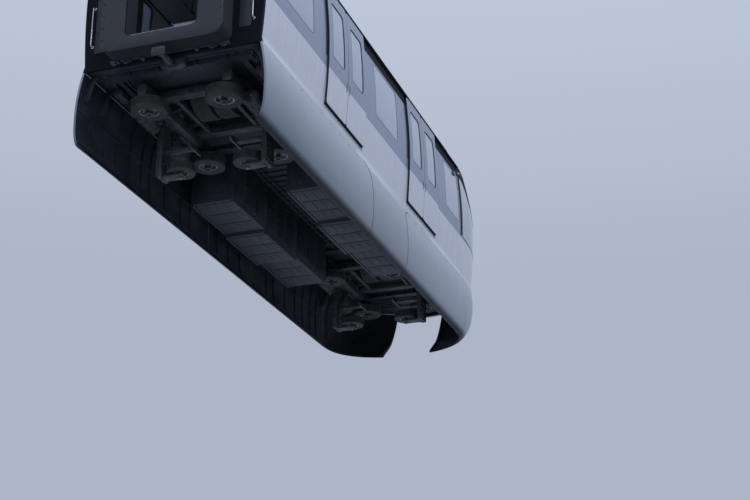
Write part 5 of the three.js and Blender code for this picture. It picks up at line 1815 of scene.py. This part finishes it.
def build_reservoir(welded, fittings, x, sign):
    start, end = (x + v for v in RESERVOIR["ends"])
    y, z, r, dome = sign * RESERVOIR["y"], RESERVOIR["z"], RESERVOIR["radius"], RESERVOIR["dome"]
    rise = [(r * sin(t), dome * (1 - cos(t))) for t in np.linspace(0, pi / 2, 9)[1:].tolist()]
    first, last = [(a, start + b) for a, b in rise], [(a, end - b) for a, b in rise[::-1]]
    welded.spun([(0.001, start), *first, *last, (0.001, end)], (0, y, z), "x", 40)
    for at in (x - 0.65, x - 0.36):
        outer, inner = (
            [[(w, y + a, z + b) for a, b in circle(40, radius)] for w in (at - 0.02, at + 0.02)]
            for radius in (r + 0.004, r - 0.002)
        )
        welded.tube_wall(outer, inner)
    fittings.rod((x - 0.5, y, z - r - 0.018), (x - 0.5, y, z - r + 0.004), 0.014, 6, 0.001)
    fittings.rod((x - 0.79, y, z), (x - 0.775, y, z), 0.016, 6, 0.001)


# Wheels
PROFILE_STEPS = 6
RIM_BOLTS = 8


def tyre_profile(radius, width, rim, groove):
    """Closed profile of a solid-looking tyre: flat grooved tread, rounded shoulders, bulged sides, beads."""
    half = width / 2
    tread_half = half * 0.72
    side = [(rim * 1.0, half * 0.62), (rim * 1.05, half * 0.80), (rim * 1.08, half * 0.97)]
    shoulder = radius * 0.93
    for t in np.linspace(0, 1, PROFILE_STEPS + 1).tolist():
        side.append((rim * 1.12 + (shoulder - rim * 1.12) * t, half * (0.965 + 0.035 * sin(pi * t))))
    for turn in np.linspace(0, pi / 2, PROFILE_STEPS + 1)[1:].tolist():
        bend = 1 - cos(turn)
        side.append((shoulder + (radius - shoulder) * sin(turn), half - (half - tread_half) * bend))
    grooves = sizes().tread_grooves
    deep = radius - groove * 1.1
    tread = []
    steps = ((radius, 0.5), (deep, 0.3), (deep, -0.3), (radius, -0.5))
    for k in range(grooves):
        middle = tread_half * (1 - 2 * (k + 0.5) / grooves) * 0.92
        tread += [(r, middle + groove * share) for r, share in steps]
    return side + tread + [(r, -along) for r, along in reversed(side)]


RIM_SHAPE = (
    # Shares of the rim's radius and of its half width: flange, deep dish, web and hub
    (0.36, 0.72), (0.38, 0.45), (0.78, 0.28), (0.86, 0.55), (0.9, 0.86), (1.07, 0.88), (1.07, 0.80),
    (0.985, 0.74), (0.985, 0.2),
)


def wheel(kits, kind, centre, axis):
    radius, width, rim, bore, groove = WHEELS[kind]
    tyre, cast, bolts = kits
    tyre.spun(tyre_profile(radius, width, rim, groove), centre, axis, 72)
    half = [(bore, width * 0.36), *((rim * a, width / 2 * b) for a, b in RIM_SHAPE)]
    cast.spun(half + [(r, -along) for r, along in reversed(half)], centre, axis, 48)
    u, v, w = {"y": (2, 0, 1), "z": (0, 1, 2)}[axis]
    for way in (-1, 1):
        for a, b in circle(RIM_BOLTS, rim * 0.58, pi / RIM_BOLTS):
            place = Vector(centre)
            place[u] += a
            place[v] += b
            place[w] += way * width / 2 * 0.37
            bolts.bolt(place, axis, 0.024 if kind == "load" else 0.018, way)


def build_wheels():
    radius = WHEELS["load"][0]
    for place, x in BOGIES.items():
        kits = Kit(), Kit(), Kit()
        for sign in SIGNS:
            wheel(kits, "load", (x, sign * LOAD_Y, radius), "y")
        # The shaft, then the thicker middle between the tyres
        shafts = (AXLE["half"], AXLE["radius"], 0.004), (2 * LOAD_Y - 0.03, AXLE["hub"], 0.01)
        for half, thick, bevel in shafts:
            kits[1].rod((x, -half, radius), (x, half, radius), thick, 40, bevel)
        wheel_objects(f"load_axle_{place}", kits)
        for side, sign in SIDES.items():
            upright = [(f"guide_wheel_{place}_{end}", "guide", x + way * GUIDE["x"], GUIDE["z"])
                       for end, way in (("rear", -1), ("front", 1))]
            for name, kind, at, z in (*upright, (f"steadying_wheel_{place}", "steadying", x, STEADY["z"])):
                kits = Kit(), Kit(), Kit()
                wheel(kits, kind, (at, sign * (BEAM_HALF + WHEELS[kind][0]), z), "z")
                wheel_objects(f"{name}_{side}", kits)


def wheel_objects(body, kits):
    tyre, cast, bolts = kits
    tyre.object(body + "_tyres", tyre_rubber, "tyre_rubber", body, body)
    cast.object(body + "_rims", cast_aluminium, body=body)
    bolts.object(body + "_bolts", zinc_plate, body=body)


# Inside
SEAT_SECTIONS = {
    # Y and height of the shell's section, the first on its cushion's inner edge
    "over_wheels": (
        (0.56, 0.80), (0.925, 0.78), (0.955, 0.86), (0.93, 0.888), (0.65, 0.872),
        (0.60, 1.10), (0.535, 1.435), (0.50, 1.436), (0.555, 1.08), (0.54, 0.90),
    ),
    "bench": (
        (1.36, 0.80), (0.97, 0.785), (0.955, 0.86), (0.97, 0.892), (1.315, 0.875),
        (1.355, 1.10), (1.392, 1.302), (1.42, 1.302), (1.41, 1.08), (1.39, 0.88),
    ),
}
SEAT_DIP = 0.022


def seat_shells(kit, sign, section, starts, width, cushion, back):
    """Moulded shells side by side. Towards the middle of each its cushion dips and its back hollows."""
    section = softened(section, 0.02, 3)
    for x0 in starts:
        rings = []
        for t in np.linspace(0, 1, 15).tolist():
            hollow = SEAT_DIP * sin(pi * t) ** 0.6
            rings.append([
                (x0 + width * t, sign * (y - back * hollow * min(1.0, max(0.0, z - 0.90) / 0.1)),
                 z - (hollow if 0.84 < z < 0.90 and cushion[0] < y < cushion[1] else 0))
                for y, z in section
            ])
        kit.solid(rings)


def build_seats():
    for place, x in BOGIES.items():
        kit, plinth = Kit(), Kit()
        for sign in SIGNS:
            starts = x - 0.696 + np.arange(3) * 0.4667
            seat_shells(kit, sign, SEAT_SECTIONS["over_wheels"], starts, 0.4587, (0.62, 0.93), 1)
            plinth.block((x - 0.69, sign * 0.525, 0.4505), (x + 0.69, sign * 0.885, 0.795), 0.01)
        plinth.block((x - 0.695, -0.52, 1.0415), (x + 0.695, 0.52, 1.07), 0.006)
        for end in (-1, 1):
            plinth.block((x + end * 0.672, -0.50, 1.06), (x + end * 0.695, 0.50, 1.40), 0.008)
        kit.object(f"seat_shells_{place}", moulded_seat, "seat_plastic", f"seats_over_{place}_wheels")
        plinth.object(f"seat_plinth_{place}", melamine_lining)
    for side, sign in SIDES.items():
        kit, plinth = Kit(), Kit()
        starts = -1.176 + np.arange(5) * 0.472
        seat_shells(kit, sign, SEAT_SECTIONS["bench"], starts, 0.464, (0.97, 1.32), -0.5)
        plinth.block((-1.175, sign * 1.10, 0.4505), (1.175, sign * 1.40, 0.798), 0.008)
        for end in (-1, 1):
            plinth.block((end * 1.182, sign * 0.98, 0.62), (end * 1.198, sign * 1.40, 1.22), 0.006)
        kit.object(f"bench_shells_{side}", moulded_seat, "seat_plastic", f"bench_{side}")
        plinth.object(f"bench_plinth_{side}", melamine_lining)


RAIL = {"y": 0.70, "z": 2.23, "radius": 0.017, "ends": (-5.25, 4.50)}
RAIL_POSTS = (-3.08, -1.25, 1.25, 3.08)
RAIL_TIES = (-4.9, 0.0, 4.3)


def build_handrails():
    kit, brackets = Kit(), Kit()
    z, r = RAIL["z"], RAIL["radius"]
    reach = float(np.interp(down_to(z), DOWN, SECTION_LINE[:, 0])) - WALL - 0.004
    ceiling = roof_height(RAIL["y"]) - 0.079
    for sign in SIGNS:
        y = sign * RAIL["y"]
        kit.rod((RAIL["ends"][0], y, z), (RAIL["ends"][1], y, z), r, 20, 0.004)
        for x in RAIL_POSTS:
            kit.rod((x, y, FLOOR + 0.004), (x, y, z), r, 20)
            brackets.rod((x, y, FLOOR + 0.0045), (x, y, FLOOR + 0.016), 0.045, 24, 0.003)
            brackets.rod((x, y, z - 0.05), (x, y, z + 0.026), 0.026, 20, 0.004)
            brackets.rod((x - 0.045, y, z), (x + 0.045, y, z), 0.024, 20, 0.004)
        for x in np.linspace(-4.9, 4.2, 8):
            brackets.rod((x, y, z), (x, y, ceiling), 0.011, 12)
            brackets.rod((x, y, ceiling - 0.006), (x, y, ceiling), 0.030, 20, 0.002)
            brackets.rod((x - 0.02, y, z), (x + 0.02, y, z), 0.022, 20, 0.004)
        for x in RAIL_TIES:
            brackets.rod((x, sign * (reach - 0.012), z), (x, sign * (reach + 0.001), z), 0.035, 20, 0.002)
    for x in RAIL_TIES:
        kit.rod((x, -reach, z), (x, reach, z), r, 20)
    kit.object("rails", brushed_steel, "rail_steel", "handrails")
    brackets.object("rail_brackets", frame_aluminium)


# X and height of the desk's section
DESK = (
    (5.35, 0.4503), (5.90, 0.4503), (6.12, 0.70), (6.18, 0.985), (5.60, 1.052), (5.40, 0.985), (5.35, 0.90),
)
SCREEN_FRAME = ((5.62, 1.050), (5.66, 1.052), (5.74, 1.20), (5.71, 1.215))
SCREEN = ((5.632, 1.064), (5.628, 1.066), (5.702, 1.202), (5.706, 1.200))


def build_desk():
    kit = Kit()
    rings = []
    for y in (-0.9, -0.885, *np.linspace(-0.8, 0.8, 9), 0.885, 0.9):
        shrink = 0.985 if abs(y) > 0.89 else 1.0
        limit = 5.0 + 1.22 * sqrt(1 - (y / 1.45) ** 2)
        section = [(min(x, limit), z) for x, z in softened(DESK, 0.03, 3)]
        rings.append([(5.6 + (x - 5.6) * shrink, y, 0.75 + (z - 0.75) * shrink) for x, z in section])
    kit.solid(rings)
    kit.object("desk", moulded_plastic, "desk_plastic", "control_desk")
    screens, knobs = Kit(), Kit()
    for y in (-0.42, 0.0, 0.42):
        knobs.prism(SCREEN_FRAME, "y", y - 0.17, y + 0.17, 0.004)
        screens.prism(SCREEN, "y", y - 0.15, y + 0.15)
    up = Vector((-0.316, 0, 0.949))
    for y in np.linspace(-0.75, 0.75, 16):
        if abs(abs(y) - 0.35) > 0.06:
            place = Vector((5.49, y, 1.018))
            knobs.rod(place - up * 0.006, place + up * 0.010, 0.013, 16, 0.002)
    for y in (-0.35, 0.35):
        knobs.rod((5.50, y, 1.022), (5.48, y, 1.112), 0.008, 12)
        knobs.rod((5.48, y, 1.107), (5.47, y, 1.147), 0.020, 20, 0.006)
    screens.object("desk_screens", screen_glass)
    knobs.object("desk_controls", frame_aluminium)


DRIVER_SEAT = (
    # X from the seat's middle and height of the shell's section
    (-0.25, 0.878), (0.22, 0.878), (0.25, 0.93), (0.24, 0.985), (-0.13, 0.965), (-0.23, 1.49), (-0.27, 1.505),
    (-0.318, 1.49),
)


def build_driver_seat():
    x, half = 4.95, 0.24
    kit, stand = Kit(), Kit()
    rings = []
    for t in np.linspace(-1, 1, 13).tolist():
        dip = 0.03 * (1 - abs(t) ** 2.5)
        narrow = 1 - 0.5 * abs(t) ** 8
        ring = []
        for a, b in softened(DRIVER_SEAT, 0.04, 4):
            if b > 0.95:
                a, b = a - dip, b - dip * 0.5
            ring.append((x + a, t * half, 0.93 + (b - 0.93) * (narrow if b > 1.2 else 1.0)))
        rings.append(ring)
    kit.solid(rings)
    kit.object("driver_shell", moulded_seat, "seat_plastic", "driver_seat")
    stand.rod((x, 0, FLOOR + 0.004), (x, 0, FLOOR + 0.03), 0.18, 40, 0.008, 0.15)
    stand.rod((x, 0, FLOOR + 0.02), (x, 0, 0.72), 0.058, 32, 0.004)
    stand.rod((x, 0, 0.70), (x, 0, 0.882), 0.045, 32)
    stand.block((x - 0.12, -0.12, 0.862), (x + 0.12, 0.12, 0.882), 0.005)
    stand.pipe([(x + 0.06, 0.10, 0.87), (x + 0.10, 0.20, 0.865), (x + 0.12, 0.27, 0.875)], 0.008)
    stand.object("driver_stand", frame_aluminium)


def build_floor_covering():
    """Vinyl sheet on the floor, cut round the wheel wells."""
    skin = Skin(lambda a, b: np.stack(np.broadcast_arrays(a, b, FLOOR), axis=-1))
    turns = np.linspace(0.1, 1, 12)[:-1] * pi / 2
    nose = [(4.85 + 1.55 * sin(t), 1.40 * cos(t) ** 0.66) for t in turns]
    line = [(REAR + WALL + 0.01, 1.40), (4.85, 1.40), *nose]
    holes = [rectangle((x - 0.61, x + 0.61), (-0.53, 0.53), 0.02) for x in BOGIES.values()]
    outline = np.array([*line, *[(x, -y) for x, y in reversed(line)]])
    vinyl = sheet(skin, outline, holes, (0.0004, 0.0034), (0.6, 0.4), 0.001)
    lay("floor_vinyl", [vinyl], floor_vinyl)


# The nodes that show as they are
NODE_FINISHES = (("underframe", underbody_coat_and_shade), ("wheel_well", underbody_coat_and_shade))


def build_frame_finish():
    """Gives each node that still shows the material of what it is made of."""
    for name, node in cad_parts.items():
        if node.hide_render:
            continue
        make = next((make for start, make in NODE_FINISHES if name.startswith(start)), None)
        if make is None:
            raise RuntimeError(f"no finish is named for {name}")
        for slot in node.material_slots:
            slot.material = finish_of(make)
        if not node.data.materials:
            node.data.materials.append(finish_of(make))


# The stage
PHOTO_WIDTH = 750
FOCAL = 1500.0  # pixels of the photo's frame
CAMERA = {"place": (-23.222, -9.587, -10.903), "yaw": 19.6408, "pitch": 21.9109, "roll": 0.2}
SENSOR = 36.0
STAGE_SIZE = 900.0
SKY_TOP = 1.9
LIGHTS = (
    # Name, place, size, power, colour
    ("soft light above", (6, -22, 26), 18, 5200, "#eef1ff"),
    ("soft light behind", (-30, -16, 10), 14, 1800, "#e6ecff"),
)


def staged(name, data):
    """An object of the stage."""
    item = bpy.data.objects.new(name, data)
    bpy.context.scene.collection.objects.link(item)
    return item


def build_stage():
    scene = bpy.context.scene
    scene.view_settings.view_transform = "Standard"
    yaw, pitch, roll = (radians(CAMERA[k]) for k in ("yaw", "pitch", "roll"))
    ahead = Vector((cos(pitch) * cos(yaw), cos(pitch) * sin(yaw), sin(pitch)))
    right = Vector((sin(yaw), -cos(yaw), 0))
    up = right.cross(ahead)
    right, up = right * cos(roll) + up * sin(roll), up * cos(roll) - right * sin(roll)
    data = bpy.data.cameras.new("camera")
    data.sensor_width = SENSOR
    data.lens = FOCAL / PHOTO_WIDTH * SENSOR
    data.clip_end = 500
    scene.camera = staged("camera", data)
    facing = Matrix((right, up, -ahead)).transposed().to_4x4()
    scene.camera.matrix_world = Matrix.Translation(CAMERA["place"]) @ facing

    scene.world = bpy.data.worlds.new("Overcast sky")
    sky = Nodes(scene.world, "Background", "Generated")
    height = sky.add("SeparateXYZ", sky.place, output="Z")
    sky.set(Color=colours().sky, Strength=sky.add("MapRange", height, 0.35, 1.0, 1.0, SKY_TOP))

    mesh = bpy.data.meshes.new("ground")
    half, ground = STAGE_SIZE / 2, sizes().floor_height
    corners = [(x, y, ground) for x, y in ((-half, -half), (half, -half), (half, half), (-half, half))]
    mesh.from_pydata(corners, [], [(0, 1, 2, 3)])
    mesh.materials.append(finish_of(painted_concrete))
    staged("ground", mesh)

    for name, place, size, power, colour in LIGHTS:
        data = bpy.data.lights.new(name, "AREA")
        data.shape = "DISK"
        data.size = size
        data.energy = power
        data.color = linear(colour)[:3]
        light = staged(name, data)
        light.location = place
        light.rotation_euler = (Vector((0.6, 0, 1.0)) - Vector(place)).to_track_quat("-Z", "Y").to_euler()


# Operators, in the order that they run
class MONORAIL_OT_side_walls(bpy.types.Operator):
    """Lays the outer skins of both walls, with the lining, ribs and side lamps"""

    bl_idname = "monorail.side_walls"
    bl_label = "Side walls"

    def execute(self, context):
        build_side_walls()
        return {"FINISHED"}


class MONORAIL_OT_panes(bpy.types.Operator):
    """Sets the fixed panes in their seals"""

    bl_idname = "monorail.panes"
    bl_label = "Panes"

    def execute(self, context):
        build_panes()
        return {"FINISHED"}


class MONORAIL_OT_covers(bpy.types.Operator):
    """Hangs the four bogie covers, ribbed inside and screwed on"""

    bl_idname = "monorail.covers"
    bl_label = "Bogie covers"

    def execute(self, context):
        build_covers()
        return {"FINISHED"}


class MONORAIL_OT_roof(bpy.types.Operator):
    """Lays the roof panels, the dark edges, the door rails and the ceiling"""

    bl_idname = "monorail.roof"
    bl_label = "Roof"

    def execute(self, context):
        build_roof()
        return {"FINISHED"}


class MONORAIL_OT_air_unit(bpy.types.Operator):
    """Builds the roof unit with its fans, guards and grilles"""

    bl_idname = "monorail.air_unit"
    bl_label = "Air-conditioning unit"

    def execute(self, context):
        build_unit_casing()
        build_unit_fans()
        build_unit_grilles()
        return {"FINISHED"}


class MONORAIL_OT_nose(bpy.types.Operator):
    """Lays the nose mask, and the windscreen in it with its seals, posts and wipers"""

    bl_idname = "monorail.nose"
    bl_label = "Nose and windscreen"

    def execute(self, context):
        build_nose()
        build_windscreen()
        return {"FINISHED"}


class MONORAIL_OT_headlamps(bpy.types.Operator):
    """Builds the lamps behind their lenses"""

    bl_idname = "monorail.headlamps"
    bl_label = "Headlamps"

    def execute(self, context):
        build_headlamps()
        return {"FINISHED"}


class MONORAIL_OT_apron(bpy.types.Operator):
    """Lays the apron round the beam's slot"""

    bl_idname = "monorail.apron"
    bl_label = "Nose apron"

    def execute(self, context):
        build_apron()
        return {"FINISHED"}


class MONORAIL_OT_rear_end(bpy.types.Operator):
    """Builds the end wall with its frames, handles and sockets"""

    bl_idname = "monorail.rear_end"
    bl_label = "Rear end"

    def execute(self, context):
        build_rear_end()
        return {"FINISHED"}


class MONORAIL_OT_bellows(bpy.types.Operator):
    """Folds the bellows between their frames over the bridge plate"""

    bl_idname = "monorail.bellows"
    bl_label = "Gangway bellows"

    def execute(self, context):
        build_bellows()
        return {"FINISHED"}


class MONORAIL_OT_coupling(bpy.types.Operator):
    """Builds the coupling bar with its rubber pads"""

    bl_idname = "monorail.coupling"
    bl_label = "Coupling"

    def execute(self, context):
        build_coupling()
        return {"FINISHED"}


class MONORAIL_OT_doors(bpy.types.Operator):
    """Hangs the eight door leaves and trims the doorways"""

    bl_idname = "monorail.doors"
    bl_label = "Doors"

    def execute(self, context):
        build_doors()
        return {"FINISHED"}


class MONORAIL_OT_underfloor(bpy.types.Operator):
    """Adds beams, ribs, pipes and the equipment cases under the floor"""

    bl_idname = "monorail.underfloor"
    bl_label = "Underfloor"

    def execute(self, context):
        build_underframe()
        build_cases()
        return {"FINISHED"}


class MONORAIL_OT_bogies(bpy.types.Operator):
    """Builds both bogie frames with motors, reservoirs and springs"""

    bl_idname = "monorail.bogies"
    bl_label = "Bogie frames"

    def execute(self, context):
        build_bogies()
        return {"FINISHED"}


class MONORAIL_OT_wheels(bpy.types.Operator):
    """Builds the load, guide and steadying wheels"""

    bl_idname = "monorail.wheels"
    bl_label = "Wheels"

    def execute(self, context):
        build_wheels()
        return {"FINISHED"}


class MONORAIL_OT_seats(bpy.types.Operator):
    """Moulds the passengers' seat shells on their plinths"""

    bl_idname = "monorail.seats"
    bl_label = "Seats"

    def execute(self, context):
        build_seats()
        return {"FINISHED"}


class MONORAIL_OT_handrails(bpy.types.Operator):
    """Builds the rails and posts with their brackets"""

    bl_idname = "monorail.handrails"
    bl_label = "Handrails"

    def execute(self, context):
        build_handrails()
        return {"FINISHED"}


class MONORAIL_OT_cab(bpy.types.Operator):
    """Builds the desk with its screens and levers, and the driver's seat"""

    bl_idname = "monorail.cab"
    bl_label = "Desk and driver's seat"

    def execute(self, context):
        build_desk()
        build_driver_seat()
        return {"FINISHED"}


class MONORAIL_OT_floor_covering(bpy.types.Operator):
    """Lays the vinyl on the floor"""

    bl_idname = "monorail.floor_covering"
    bl_label = "Floor covering"

    def execute(self, context):
        build_floor_covering()
        return {"FINISHED"}


class MONORAIL_OT_frame_finish(bpy.types.Operator):
    """Gives each node that still shows its material"""

    bl_idname = "monorail.frame_finish"
    bl_label = "Plain nodes"

    def execute(self, context):
        build_frame_finish()
        return {"FINISHED"}


class MONORAIL_OT_stage(bpy.types.Operator):
    """Sets the camera, the sky, the ground and the lights"""

    bl_idname = "monorail.stage"
    bl_label = "Stage"

    def execute(self, context):
        build_stage()
        return {"FINISHED"}


OPERATORS = (
    MONORAIL_OT_side_walls, MONORAIL_OT_panes, MONORAIL_OT_covers, MONORAIL_OT_roof, MONORAIL_OT_air_unit,
    MONORAIL_OT_nose, MONORAIL_OT_headlamps, MONORAIL_OT_apron, MONORAIL_OT_rear_end, MONORAIL_OT_bellows,
    MONORAIL_OT_coupling, MONORAIL_OT_doors, MONORAIL_OT_underfloor, MONORAIL_OT_bogies, MONORAIL_OT_wheels,
    MONORAIL_OT_seats, MONORAIL_OT_handrails, MONORAIL_OT_cab, MONORAIL_OT_floor_covering,
    MONORAIL_OT_frame_finish, MONORAIL_OT_stage,
)


class MONORAIL_PT_panel(bpy.types.Panel):
    """Lists the sizes, the colours and the operators"""

    bl_idname = "MONORAIL_PT_panel"
    bl_label = "Straddle monorail car"
    bl_space_type = "VIEW_3D"
    bl_region_type = "UI"
    bl_category = "Monorail"

    def draw(self, context):
        layout = self.layout
        for group in (context.scene.monorail_sizes, context.scene.monorail_colours):
            box = layout.box()
            for name in group.__annotations__:
                box.prop(group, name)
        for operator in OPERATORS:
            layout.operator(operator.bl_idname)


CLASSES = (MonorailSizes, MonorailColours, *OPERATORS, MONORAIL_PT_panel)


def register():
    for cls in CLASSES:
        bpy.utils.register_class(cls)
    bpy.types.Scene.monorail_sizes = bpy.props.PointerProperty(type=MonorailSizes)
    bpy.types.Scene.monorail_colours = bpy.props.PointerProperty(type=MonorailColours)


def unregister():
    del bpy.types.Scene.monorail_colours
    del bpy.types.Scene.monorail_sizes
    for cls in reversed(CLASSES):
        bpy.utils.unregister_class(cls)


def main():
    register()
    for operator in OPERATORS:
        getattr(bpy.ops.monorail, operator.bl_idname.split(".")[1])()


if __name__ == "__main__":
    main()
